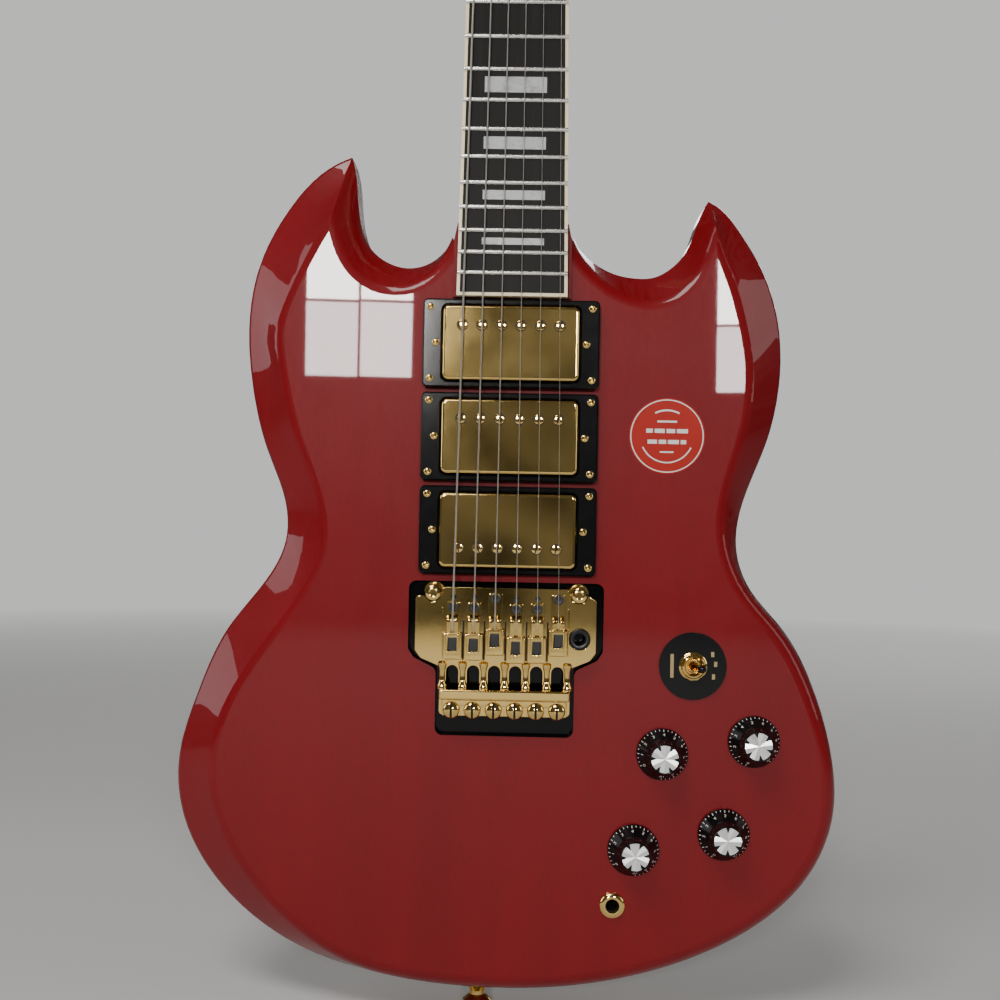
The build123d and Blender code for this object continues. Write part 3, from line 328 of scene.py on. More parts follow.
plated("gold", (0.95, 0.70, 0.26), (0.84, 0.57, 0.18), 0.035)
plated("gold_satin", (0.90, 0.64, 0.24), (0.72, 0.46, 0.15), 0.2)
plated("steel", (0.74, 0.74, 0.73), (0.60, 0.60, 0.59), 0.2)
plated("fret_wire", (0.86, 0.85, 0.81), (0.74, 0.73, 0.69), 0.16)
plated("string_steel", (0.86, 0.83, 0.76), (0.70, 0.68, 0.62), 0.3)
plated("silver_cap", (0.92, 0.92, 0.93), (0.82, 0.82, 0.83), 0.22, metallic=0.62)
plated("black_steel", (0.008, 0.008, 0.009), (0.004, 0.004, 0.005), 0.3, metallic=0.0)
print(len(finishes), "finishes so far")

# %% [markdown]
# ## Plastics, ebony and pearl
# Black parts differ in how they reflect: the pickup rings and knobs are polished, the cover plates are
# satin. Ebony is almost black with fine brown streaks up the neck. The block inlays are pearloid, whose
# swirls are a noise that is bent by a second noise.

# %% Plastics
def plastic(name, colour, roughness, mottle=0.12):
    skin = finish(name, Specular_IOR_Level=0.3)
    cloud = skin.noise(skin.place(), 180.0, 4.0)
    dust = skin.noise(skin.place(), 2600.0, 2.0)
    lighter = tuple(min(1.0, part * (1 + mottle) + 0.002) for part in colour)
    skin.set(
        Base_Color=skin.mix(cloud, colour, lighter),
        Roughness=roughness + cloud * 0.05 + dust * 0.03,
        Normal=skin.bump(dust, 0.000003, 0.3),
    )
    return skin


plastic("black_gloss", (0.0035, 0.0035, 0.004), 0.08)
plastic("black_satin", (0.010, 0.010, 0.011), 0.42)
plastic("slot_shadow", (0.012, 0.009, 0.004), 0.7)
plastic("cream", (0.78, 0.66, 0.43), 0.25)
plastic("white_print", (0.62, 0.62, 0.59), 0.5)
plastic("gold_print", (0.34, 0.25, 0.11), 0.45)
plastic("bobbin_black", (0.02, 0.02, 0.02), 0.55)

# %% [markdown]
# Ebony and pearl need their own recipes, because their patterns have a direction or a swirl that the
# plain recipe for plastics can't give. The label is printed red film under a clear coat.

# %% Ebony, pearl and label film
ebony = finish("ebony", Specular_IOR_Level=0.12)
streak = ebony.noise(ebony.stretched((260.0, 260.0, 9.0)), 1.0, 5.0, 0.65, 0.3)
pores = ebony.noise(ebony.stretched((2200.0, 2200.0, 120.0)), 1.0, 2.0)
streak_mask = ebony.ramp(streak, [(0.45, 0.0), (0.75, 1.0)])
tone = ebony.mix(streak_mask, (0.0045, 0.004, 0.004), (0.014, 0.011, 0.009))
ebony.set(Base_Color=tone, Roughness=0.36 + streak * 0.16, Normal=ebony.bump(pores, 0.00001, 0.4))

pearl = finish("pearl", Roughness=0.18, Coat_Weight=0.6, Coat_Roughness=0.08)
fold = pearl.noise(pearl.stretched((70.0, 70.0, 110.0)), 1.0, 3.0, 0.6, 2.6)
sheen = pearl.noise(pearl.stretched((30.0, 30.0, 40.0)), 1.0, 2.0, 0.5, 1.2)
shades = [(0.3, (0.24, 0.25, 0.27)), (0.5, (0.44, 0.455, 0.47)), (0.7, (0.31, 0.33, 0.35))]
tone = pearl.ramp(fold, shades)
pearl.set(Base_Color=pearl.mix(sheen * 0.35, tone, (0.52, 0.51, 0.49)), Roughness=0.14 + fold * 0.12)

decal_red = finish("decal_red", Roughness=0.4, Specular_IOR_Level=0.1, Coat_Weight=1.0,
                   Coat_Roughness=0.05, Coat_IOR=1.34)
cloud = decal_red.noise(decal_red.place(), 120.0)
decal_red.set(Base_Color=decal_red.mix(cloud, (0.33, 0.012, 0.007), (0.38, 0.018, 0.011)))
print(sorted(finishes))

# %% [markdown]
# ## Dressing the model's own parts
# A part whose plain solid already has its real shape stays, and only gets its finish: its material slot
# is pointed at the new material.

# %% Finish for each model part
part_finish = {
    "body": "cherry_lacquer", "neck": "cherry_lacquer_neck", "fretboard": "ebony", "inlays": "pearl",
    "binding": "cream", "frets": "fret_wire", "truss_rod": "steel", "truss_rod_cover": "black_gloss",
    "nut_base": "gold", "nut_clamps": "gold", "headstock_screws": "gold", "tuner_housings": "gold",
    "pickup_rings": "black_gloss", "face_screws": "gold", "tremolo_studs": "gold",
    "tremolo_springs": "steel", "spring_claw": "steel", "strings": "steel", "string_ends": "steel",
    "control_pots": "steel", "toggle_plate": "black_gloss", "toggle_switch": "gold",
    "output_jack": "gold", "cavity_covers": "black_satin", "rear_screws": "steel",
    "strap_buttons": "gold", "tremolo_base_plate": "gold", "arm_collar": "black_steel",
    "sustain_block": "gold_satin", "saddles": "gold", "string_locks": "black_steel",
    "toggle_lever": "gold",
}
by_start = {"fine_tuner": "gold", "tuner_": "gold", "knob": "black_gloss", "pickup": "gold",
            "coils": "bobbin_black"}


def finish_of(node):
    if node in part_finish:
        return part_finish[node]
    return next(name for start, name in by_start.items() if node.startswith(start))


for node, part in nodes.items():
    for item in part.material_slots:
        item.material = finishes[finish_of(node)].material
print("dressed", len(nodes), "parts")

# %% [markdown]
# ## Tools for shaping pieces
# Most hardware is turned, pressed or milled. So there is one helper for turned pieces, one for plates
# and blocks with eased edges, and one for round wire that follows a path. Each returns a plain mesh that
# already lies in its place, because the export expects every object to sit at the origin.

# %% Shaping helpers
def smooth(mesh, angle=32):
    mesh.shade_smooth()
    mesh.set_sharp_from_angle(angle=math.radians(angle))
    return mesh


def from_bmesh(shape, name, matrix=None, angle=32):
    bmesh.ops.remove_doubles(shape, verts=shape.verts, dist=1e-7)
    bmesh.ops.recalc_face_normals(shape, faces=shape.faces)
    mesh = bpy.data.meshes.new(name)
    shape.to_mesh(mesh)
    shape.free()
    if matrix:
        mesh.transform(matrix)
    return smooth(mesh, angle)


def turned(name, profile, matrix, sides=48, angle=32):
    """Turned piece: profile is (radius, height) in millimetres, from the axis out and back to it."""
    shape = bmesh.new()
    rings = []
    for radius, height in profile:
        if radius == 0:
            rings.append([shape.verts.new((0, 0, height * MM))] * sides)
            continue
        turn = [2 * math.pi * side / sides for side in range(sides)]
        spots = [(radius * MM * math.cos(a), radius * MM * math.sin(a), height * MM) for a in turn]
        rings.append([shape.verts.new(spot) for spot in spots])
    for low, high in zip(rings, rings[1:]):
        for side in range(sides):
            after = (side + 1) % sides
            corners = []
            for vert in (low[side], low[after], high[after], high[side]):
                if vert not in corners:
                    corners.append(vert)
            if len(corners) > 2:
                shape.faces.new(corners)
    return from_bmesh(shape, name, matrix, angle)


def plate(name, outline, low, high, matrix, ease=0.3, steps=2, angle=32):
    """Plate between two heights with this outline, its edges eased. All in millimetres."""
    shape = bmesh.new()
    floor = shape.faces.new([shape.verts.new((x * MM, y * MM, low * MM)) for x, y in outline])
    lifted = bmesh.ops.extrude_face_region(shape, geom=[floor])["geom"]
    moved = [item for item in lifted if isinstance(item, bmesh.types.BMVert)]
    bmesh.ops.translate(shape, verts=moved, vec=(0, 0, (high - low) * MM))
    if ease:
        sharp = [edge for edge in shape.edges if edge.calc_face_angle(0) > math.radians(25)]
        bmesh.ops.bevel(shape, geom=sharp, offset=ease * MM, segments=steps, profile=0.5,
                        affect="EDGES", clamp_overlap=True)
    return from_bmesh(shape, name, matrix, angle)


def rectangle(width, length, x=0.0, y=0.0):
    half_w, half_l = width / 2, length / 2
    return [(x - half_w, y - half_l), (x + half_w, y - half_l), (x + half_w, y + half_l),
            (x - half_w, y + half_l)]


def circle(radius, sides=32, x=0.0, y=0.0, start=0.0):
    return [(x + radius * math.cos(start + 2 * math.pi * i / sides),
             y + radius * math.sin(start + 2 * math.pi * i / sides)) for i in range(sides)]


def wire(name, points, radius, sides=10):
    """Round wire through these points, in metres."""
    path = bpy.data.curves.new(name, "CURVE")
    path.dimensions = "3D"
    path.bevel_depth = radius
    path.bevel_resolution = max(1, sides // 4)
    path.use_fill_caps = True
    line = path.splines.new("POLY")
    line.points.add(len(points) - 1)
    for spot, point in zip(line.points, points):
        spot.co = (*point, 1)
    holder = bpy.data.objects.new(name, path)
    mesh = bpy.data.meshes.new_from_object(holder)
    bpy.data.objects.remove(holder)
    return smooth(mesh, 60)


def joined(name, meshes):
    """Several meshes as one, each keeping its own material slots."""
    shape = bmesh.new()
    for mesh in meshes:
        shape.from_mesh(mesh)
    whole = bpy.data.meshes.new(name)
    shape.to_mesh(whole)
    shape.free()
    whole.set_sharp_from_angle(angle=math.radians(32))
    return whole


def flattened(mesh):
    """Lets large faces rule the shading, so a plate with eased edges still looks flat."""
    holder = bpy.data.objects.new("holder", mesh)
    bpy.context.scene.collection.objects.link(holder)
    rule = holder.modifiers.new("rule", "WEIGHTED_NORMAL")
    rule.keep_sharp = True
    rule.weight = 100
    bpy.context.view_layer.update()
    result = bpy.data.meshes.new_from_object(holder.evaluated_get(bpy.context.evaluated_depsgraph_get()))
    bpy.data.objects.remove(holder)
    return result


def add_piece(name, mesh, body, material, stands_for=()):
    """Puts a finished mesh on a body of the model."""
    mesh = flattened(mesh)
    mesh.name = name
    piece = bpy.data.objects.new(name, mesh)
    bpy.context.scene.collection.objects.link(piece)
    mesh.materials.clear()
    mesh.materials.append(finishes[material].material)
    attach(piece, body)
    if stands_for:
        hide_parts(*stands_for)
    return piece


print("shaping helpers ready")

# %% [markdown]
# ## Geometry Nodes for what repeats
# Screws, pole pieces and bridge columns are one small shape set out on many points. The tree takes the
# points, the shape and the finish as named inputs, turns each copy by the point's own angle, and makes
# real geometry of the copies at the end.

# %% A tree that sets a shape out on points
def new_tree(name, inputs):
    tree = bpy.data.node_groups.new(name, "GeometryNodeTree")
    tree.interface.new_socket("Geometry", in_out="INPUT", socket_type="NodeSocketGeometry")
    for label, kind in inputs:
        tree.interface.new_socket(label, in_out="INPUT", socket_type=kind)
    tree.interface.new_socket("Geometry", in_out="OUTPUT", socket_type="NodeSocketGeometry")
    return tree


def tree_node(tree, kind, settings=None, inputs=None):
    made = tree.nodes.new(kind)
    for name, value in (settings or {}).items():
        setattr(made, name, value)
    for name, value in (inputs or {}).items():
        if isinstance(value, bpy.types.NodeSocket):
            tree.links.new(value, made.inputs[name])
        else:
            made.inputs[name].default_value = value
    return made


def set_out_tree():
    inputs = [("Shape", "NodeSocketObject"), ("Finish", "NodeSocketMaterial")]
    tree = new_tree("set_out_on_points", inputs)
    start = tree_node(tree, "NodeGroupInput")
    shape = tree_node(tree, "GeometryNodeObjectInfo", None, {"Object": start.outputs["Shape"]})
    angle = tree_node(tree, "GeometryNodeInputNamedAttribute", {"data_type": "FLOAT"}, {"Name": "turn"})
    turn = tree_node(tree, "ShaderNodeCombineXYZ", None, {"Y": angle.outputs[0]})
    points = tree_node(tree, "GeometryNodeMeshToPoints", None, {"Mesh": start.outputs["Geometry"]})
    copies = tree_node(tree, "GeometryNodeInstanceOnPoints", None, {
        "Points": points.outputs["Points"], "Instance": shape.outputs["Geometry"],
        "Rotation": turn.outputs[0]})
    real = tree_node(tree, "GeometryNodeRealizeInstances", None, {0: copies.outputs[0]})
    painted = tree_node(tree, "GeometryNodeSetMaterial", None, {
        "Geometry": real.outputs[0], "Material": start.outputs["Finish"]})
    tree_node(tree, "NodeGroupOutput", None, {0: painted.outputs[0]})
    return tree


def grown(name, tree, base, values):
    """Runs a tree on a base mesh and returns the result as a plain mesh."""
    holder = bpy.data.objects.new(name, base)
    bpy.context.scene.collection.objects.link(holder)
    modifier = holder.modifiers.new("grow", "NODES")
    modifier.node_group = tree
    for item in tree.interface.items_tree:
        if item.in_out == "INPUT" and item.name in values:
            modifier[item.identifier] = values[item.name]
    bpy.context.view_layer.update()
    result = bpy.data.meshes.new_from_object(holder.evaluated_get(bpy.context.evaluated_depsgraph_get()))
    bpy.data.objects.remove(holder)
    return result


set_out = set_out_tree()


def repeated(name, shape_mesh, places, material, turns=None):
    """One shape, drawn at the origin, set out on these places in metres."""
    shape = bpy.data.objects.new(name + "_shape", shape_mesh)
    bpy.context.scene.collection.objects.link(shape)
    base = bpy.data.meshes.new(name + "_points")
    base.from_pydata([tuple(place) for place in places], [], [])
    turn = base.attributes.new("turn", "FLOAT", "POINT")
    turn.data.foreach_set("value", list(turns or [0.0] * len(places)))
    result = grown(name, set_out, base, {"Shape": shape, "Finish": finishes[material].material})
    bpy.data.objects.remove(shape)
    return result


print("tree has", len(set_out.nodes), "nodes")

# %% [markdown]
# ## Control knobs
# A bell-shaped knob: a flared skirt with a printed scale, a straight barrel, and a silver insert pressed
# into the top. The insert is cut in wedges whose slopes alternate, so each wedge mirrors a different
# part of the room. Turning a profile gives the bell. The scale lines are thin plates and the figures are
# text made into mesh, and both are laid on the slope of the skirt.

# %% Knob shape
skirt_low, skirt_high = (12.9, 2.3), (8.7, 8.6)
knob_bell = [(0, 0.6), (12.3, 0.6), (13.0, 0.8), (13.2, 1.3), (13.2, 1.8), skirt_low, skirt_high,
             (8.35, 9.6), (8.15, 10.9), (7.9, 13.5), (7.75, 14.8), (7.55, 15.45), (7.2, 15.75),
             (6.95, 15.6), (6.9, 15.2), (0, 15.2)]


def sunburst(name, matrix, wedges=12, radius=6.85, rim=15.35, middle_height=15.5, swing=0.36):
    """Silver insert of wedges that slope by turns to one side and to the other."""
    shape = bmesh.new()
    hub = shape.verts.new((0, 0, middle_height * MM))
    rims, skirts = [], []
    for step in range(wedges * 4):
        angle = 2 * math.pi * step / (wedges * 4)
        share = abs((step % 8) / 4 - 1) * 2 - 1
        spot = (radius * MM * math.cos(angle), radius * MM * math.sin(angle))
        rims.append(shape.verts.new((*spot, (rim + swing * share) * MM)))
        skirts.append(shape.verts.new((*spot, 15.0 * MM)))
    count = len(rims)
    for step in range(count):
        after = (step + 1) % count
        shape.faces.new((hub, rims[step], rims[after]))
        shape.faces.new((rims[step], skirts[step], skirts[after], rims[after]))
    shape.faces.new(list(reversed(skirts)))
    return from_bmesh(shape, name, matrix, 4)


def skirt_frame(angle, height):
    """Frame lying on the slope of the skirt: X along the rim, Y towards the barrel."""
    share = (height - skirt_low[1]) / (skirt_high[1] - skirt_low[1])
    radius = skirt_low[0] + share * (skirt_high[0] - skirt_low[0])
    outward = Vector((math.cos(angle), math.sin(angle), 0))
    inward = Vector((skirt_high[0] - skirt_low[0], skirt_high[1] - skirt_low[1])).normalized()
    rise = outward * inward.x + Vector((0, 0, inward.y))
    side = Vector((-math.sin(angle), math.cos(angle), 0)) * -1
    return basis(side, rise, side.cross(rise), (outward * radius + Vector((0, 0, height))) * MM)


def figure(text, size, matrix):
    """A printed figure as flat mesh."""
    word = bpy.data.curves.new("figure", "FONT")
    word.body = text
    word.size = size * MM
    word.align_x = "CENTER"
    word.align_y = "CENTER"
    word.extrude = 0.02 * MM
    holder = bpy.data.objects.new("figure", word)
    bpy.context.scene.collection.objects.link(holder)
    bpy.context.view_layer.update()
    mesh = bpy.data.meshes.new_from_object(holder)
    bpy.data.objects.remove(holder)
    mesh.transform(matrix)
    return mesh


def scale_marks(name, matrix, zero):
    """Lines round the rim of the skirt, and the figures 0 to 10 above them."""
    marks = []
    sweep, line_height, figure_height = math.radians(300), 2.55, 5.6
    for step in range(31):
        length = 1.7 if step % 3 == 0 else 1.0
        lower = skirt_frame(zero - sweep * step / 30, line_height)
        marks.append(plate("line", rectangle(0.34, length, 0, length / 2), 0.0, 0.05, lower, 0))
    lift = Matrix.Translation((0, 0, 0.02 * MM))
    for number in range(11):
        marks.append(figure(str(number), 2.7, skirt_frame(zero - sweep * number / 10, figure_height) @ lift))
    mesh = joined(name, marks)
    mesh.transform(matrix)
    return mesh


knob_zero = {1: math.radians(208), 2: math.radians(250), 3: math.radians(215), 4: math.radians(240)}
for number, zero in knob_zero.items():
    spot = joint_place(f"knob_{number}_turn")
    place = on_face(spot.x, spot.z)
    body = f"knob_{number}"
    bell = turned(f"{body}_bell", knob_bell, place, 64, 40)
    insert = sunburst(f"{body}_insert", place @ Matrix.Rotation(zero, 4, "Z"))
    add_piece(f"{body}_bell", bell, body, "black_gloss", [body])
    add_piece(f"{body}_insert", insert, body, "silver_cap")
    add_piece(f"{body}_scale", scale_marks(f"{body}_scale", place, zero), body, "white_print")
print("four knobs")

# %% [markdown]
# ## Strings
# The three bass strings are thicker than the three treble ones. Each leaves its
# lock in the saddle, bends over the crest, runs straight to the nut, passes under a clamp and ends on its
# tuner post. A string is one round wire through those points, so it is made as a curve with a bevel.

# %% String paths
string_radius = [0.53, 0.41, 0.31, 0.21, 0.15, 0.12]
post_of_string = [1, 2, 3, 6, 5, 4]
bridge_span, nut_span = 53.4 * MM, 35.5 * MM
crest_height, nut_height, nut_length = 12.0 * MM, 10.3 * MM, 15.0 * MM
saddle_z, nut_z = 191.8 * MM, nut_low.z


def across(span, string):
    return span * (string / 5 - 0.5)


print("strings to posts", dict(enumerate(post_of_string, 1)))

# %% [markdown]
# The sounding part of each string, from the saddle past the nut, is one loose piece that rides on no body.
# The part beyond the nut rides on the guitar.

# %% Strings as round wire
def head_point(post, radius, height, angle):
    """A point round a tuner post, at this height over the headstock."""
    spot = Vector((radius * math.cos(angle), radius * math.sin(angle), height)) * MM
    return on_head(post) @ spot


def string_run(string):
    """From the lock in the saddle, over the crest, to the far side of the nut."""
    radius = string_radius[string]
    x_low, x_high = across(bridge_span, string), across(nut_span, string)
    crest, over_nut = face_y - crest_height, face_y - nut_height
    points = [(x_low, face_y - 9.0 * MM, saddle_z - 9.5 * MM),
              (x_low, crest + 1.5 * MM, saddle_z - 4.5 * MM)]
    for step in range(5):
        share = step / 4
        points.append((x_low, crest + 0.55 * MM * (1 - share) ** 2, saddle_z + (share * 3 - 3) * MM))
    for step in range(1, 40):
        share = step / 40
        points.append((x_low + (x_high - x_low) * share, crest + (over_nut - crest) * share,
                       saddle_z + (nut_z - saddle_z) * share))
    points.append((x_high, over_nut, nut_z))
    points.append((x_high, over_nut, nut_z + nut_length))
    return points, radius


def string_tail(string):
    """From the nut down to the post, and wound round it in neat turns."""
    radius = string_radius[string]
    post = post_of_string[string]
    side = -1 if post > 3 else 1
    start = Vector((across(nut_span, string), face_y - nut_height, nut_z + nut_length))
    wrap = 3.0 + radius + 0.12
    inward = math.pi if post > 3 else 0.0
    turns = 2.6 if string < 3 else 4.0
    meet = head_point(post, wrap, 7.5, inward)
    points = [start.lerp(meet, step / 6) for step in range(6)]
    steps = int(turns * 20)
    for step in range(steps + 1):
        angle = inward + side * 2 * math.pi * step / 20
        height = 7.5 - 2.1 * radius * step / 20
        points.append(head_point(post, wrap, height, angle))
    return points, radius


long_parts, tail_parts = [], []
for string in range(6):
    points, radius = string_run(string)
    long_parts.append(wire("run", points, radius * MM, 8))
    points, radius = string_tail(string)
    tail_parts.append(wire("tail", points, radius * MM, 8))


def add_bending(name, mesh, material, stands_for):
    """A loose piece that stands for the given parts: its place is baked into its mesh and it rides on no
    body.
    """
    mesh.materials.clear()
    mesh.materials.append(finishes[material].material)
    piece = bpy.data.objects.new(name, mesh)
    bpy.context.scene.collection.objects.link(piece)
    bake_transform(piece)
    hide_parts(*stands_for)
    return piece


add_bending("strings_sounding", joined("strings_sounding", long_parts), "string_steel", ["strings"])
add_piece("string_tails", joined("string_tails", tail_parts), "instrument", "string_steel",
          ["string_ends"])
print("six strings, each in two parts")

# %% [markdown]
# ## Locking tremolo
# The bridge is a gold plate that rocks on two studs. It carries six saddles, each with a small black
# block that clamps a string, and six large slotted screws at its tail for fine tuning. The plate has to
# be cut through in many places, so its outline and its holes are filled as one flat face with holes,
# then thickened: this gives clean edges without any Boolean.

# %% A plate with holes
def pierced_plate(name, outline, holes, low, high, matrix, ease=0.25):
    """Plate with openings. The outline and the holes are lists of points in millimetres."""
    shape = bmesh.new()
    for loop in (outline, *holes):
        corners = [shape.verts.new((x * MM, y * MM, low * MM)) for x, y in loop]
        for start, end in zip(corners, corners[1:] + corners[:1]):
            shape.edges.new((start, end))
    bmesh.ops.triangle_fill(shape, use_beauty=True, use_dissolve=True, edges=shape.edges)
    bmesh.ops.recalc_face_normals(shape, faces=shape.faces)
    lifted = bmesh.ops.extrude_face_region(shape, geom=list(shape.faces), use_keep_orig=True)["geom"]
    moved = [item for item in lifted if isinstance(item, bmesh.types.BMVert)]
    bmesh.ops.translate(shape, verts=moved, vec=(0, 0, (high - low) * MM))
    bmesh.ops.recalc_face_normals(shape, faces=shape.faces)
    rim = [edge for edge in shape.edges if len(edge.link_faces) == 2
           and edge.calc_face_angle(0) > math.radians(60)
           and all(abs(vert.co.z - high * MM) < 1e-6 for vert in edge.verts)]
    bmesh.ops.bevel(shape, geom=rim, offset=ease * MM, segments=3, profile=0.5, affect="EDGES",
                    clamp_overlap=True)
    return from_bmesh(shape, name, matrix)


def slot_outline(x, y, width, length, steps=8):
    """Upright oval slot."""
    half, reach = width / 2, length / 2 - width / 2
    top = [(x + half * math.cos(a), y + reach + half * math.sin(a))
           for a in (math.pi * step / steps for step in range(steps + 1))]
    tail = [(x + half * math.cos(a), y - reach + half * math.sin(a))
            for a in (math.pi + math.pi * step / steps for step in range(steps + 1))]
    return top + tail


def rounded_outline(corners, radius, steps=5):
    """Polygon with its corners rounded. Corners given with a third number use their own radius."""
    result = []
    count = len(corners)
    for index, corner in enumerate(corners):
        own = corner[2] if len(corner) > 2 else radius
        here = Vector(corner[:2])
        back = (Vector(corners[index - 1][:2]) - here).normalized()
        ahead = (Vector(corners[(index + 1) % count][:2]) - here).normalized()
        half = back.angle(ahead) / 2
        cut = own / math.tan(half)
        centre = here + (back + ahead).normalized() * (own / math.sin(half))
        first, last = here + back * cut - centre, here + ahead * cut - centre
        turn = first.angle_signed(last)
        for step in range(steps + 1):
            angle = -turn * step / steps
            spot = Vector((first.x * math.cos(angle) - first.y * math.sin(angle),
                           first.x * math.sin(angle) + first.y * math.cos(angle)))
            result.append(tuple(centre + spot))
    return result


print("slot has", len(slot_outline(0, 0, 6, 15)), "points")

# %% [markdown]
# A screw slot is sawn into a turned head. Here the head is cut twice by a plane, one half is kept from
# each cut, and a lower core closes the gap between them, so the slot has real walls and a real floor.

# %% Screw heads with a slot
def slotted_head(name, profile, slot_width, floor, matrix=None, sides=32):
    """Turned head, cut in two by a slot that runs along local Y. Slot sizes in millimetres."""
    halves = []
    for side in (-1, 1):
        shape = bmesh.new()
        shape.from_mesh(turned(name, profile, None, sides))
        everything = list(shape.verts) + list(shape.edges) + list(shape.faces)
        cut = bmesh.ops.bisect_plane(shape, geom=everything, plane_co=(side * slot_width / 2 * MM, 0, 0),
                                     plane_no=(side, 0, 0), clear_inner=True)
        rim = [item for item in cut["geom_cut"] if isinstance(item, bmesh.types.BMEdge)]
        bmesh.ops.contextual_create(shape, geom=rim)
        halves.append(from_bmesh(shape, name))
    bottom = profile[0][1]
    reach = max(radius for radius, _ in profile) - 0.15
    core = [(0, bottom), (reach, bottom), (reach, floor - 0.1), (reach - 0.1, floor), (0, floor)]
    halves.append(turned(name, core, None, sides))
    whole = joined(name, halves)
    if matrix:
        whole.transform(matrix)
    return whole


def slot_floor(name, width, length, height, matrix=None):
    """Dark strip on the floor of a slot, where no light reaches."""
    return plate(name, rectangle(width, length), height, height + 0.05, matrix, 0)


def cross_head(name, radius, low, top, reach, matrix=None, sides=28):
    """Domed screw head with a dished middle, on a plain shank."""
    dome = [(0, low - reach), (radius * 0.5, low - reach), (radius * 0.5, low), (radius, low),
            (radius, low + 0.25), (radius * 0.93, low + (top - low) * 0.6), (radius * 0.7, top - 0.12),
            (radius * 0.42, top), (radius * 0.3, top - 0.35), (0, top - 0.75)]
    return turned(name, dome, matrix, sides)


print("screw helpers ready")

# %% [markdown]
# The base plate is stamped from sheet, so it is one flat outline with slots for the strings' ends and a
# hole for the arm. A cross bar, a step and a ledge stand on it, sunk slightly so that no gap shows.

# %% Base plate of the tremolo
pivot_z = joint_place("tremolo_pivot").z / MM
strings_x = [across(bridge_span, string) / MM for string in range(6)]
lock_z = [179.8, 179.5, 182.2, 178.4, 178.6, 182.4]
screw_z = [198.4, 198.2, 202.9, 197.6, 198.0, 202.9]
stud_x, notch_radius = 37.15, 4.5
plate_low, plate_high, sunk = 3.5, 6.0, 5.9


def notch(side):
    """Half-round cut in the plate where the knife edge meets a stud."""
    around = [math.radians(angle) for angle in range(200, 361, 20)]
    return [(side * stud_x + notch_radius * math.cos(a), pivot_z + notch_radius * math.sin(a))
            for a in around]


left_side = [(-46, 203.6), (-46, 176), (-43, 172), (-33.2, 168), (-33.2, 143.4)]
left = rounded_outline([(-30, 203.6)] + left_side + [(-20, 143.4)], 2.2)[6:-6]
right = [(-x, z) for x, z in reversed(left)]
plate_line = left + right + notch(1)[::-1] + [(31.6, 208.2), (-31.6, 208.2)] + notch(-1)[::-1]
slots = [slot_outline(x, 161.4, 6.2, 14.6) for x in strings_x]
arm_spot = (37.6, 183.0)
whole_plate = on_face(0, 0)
holes = slots + [circle(5.5, 28, *arm_spot)]
bar = rounded_outline(rectangle(66.2, 5.4, 0, 154.2), 1.2)
ledge = rounded_outline(rectangle(63.4, 7.6, 0, 147.2), 1.0)
parts = [
    pierced_plate("base", plate_line, holes, plate_low, plate_high, whole_plate, 0.55),
    plate("bar", bar, sunk, 10.6, whole_plate, 1.1, 4),
    plate("bar_step", rectangle(63.0, 3.4, 0, 150.1), sunk, 9.3, whole_plate, 0.5, 3),
    plate("ledge", ledge, sunk, 8.5, whole_plate, 0.4),
]
for side in (-1, 1):
    parts.append(plate("rail", rectangle(0.8, 24.0, side * 32.0, 186.0), sunk, 6.7, whole_plate, 0.25))
add_piece("tremolo_plate", joined("tremolo_plate", parts), "tremolo", "gold", ["tremolo_base_plate"])
print("base plate with", len(holes), "holes")

# %% [markdown]
# Between the slots stand round columns that lie along the guitar. They are all turned alike, so one
# profile is turned about the Z axis and set out on seven points.

# %% Columns between the slots
column = [(0, 156.8), (2.5, 156.8), (2.6, 158.4), (1.9, 159.8), (1.5, 161.5), (1.45, 165.8),
          (1.9, 167.6), (2.3, 168.6), (2.3, 169.8), (1.6, 170.6), (0, 170.6)]
column_x = [x / 2 for x in (-66 + 2.6, *[strings_x[i] + strings_x[i + 1] for i in range(5)], 66 - 2.6)]
column_spots = [(x * MM, face_y - 6.4 * MM, 0) for x in column_x]
columns = repeated("tremolo_columns", turned("column", column, None, 20), column_spots, "gold")
add_piece("tremolo_columns", columns, "tremolo", "gold")
print(len(column_spots), "columns")

# %% [markdown]
# Each saddle is a block with a pocket for its lock, a narrower neck that ends in two cheeks with the
# string between them, and a flat tongue with the screw that holds it to the plate. All six are alike
# but stand at different places, because each string needs its own length to play in tune.

# %% Saddles
def side_profile(name, outline, x_low, x_high, ease=0.25):
    """Block whose outline is drawn from the side as (place up the neck, height)."""
    from_side = basis(up_neck, out_of_face, across_face, Vector((0, face_y, 0)))
    return plate(name, outline, x_low, x_high, from_side, ease)


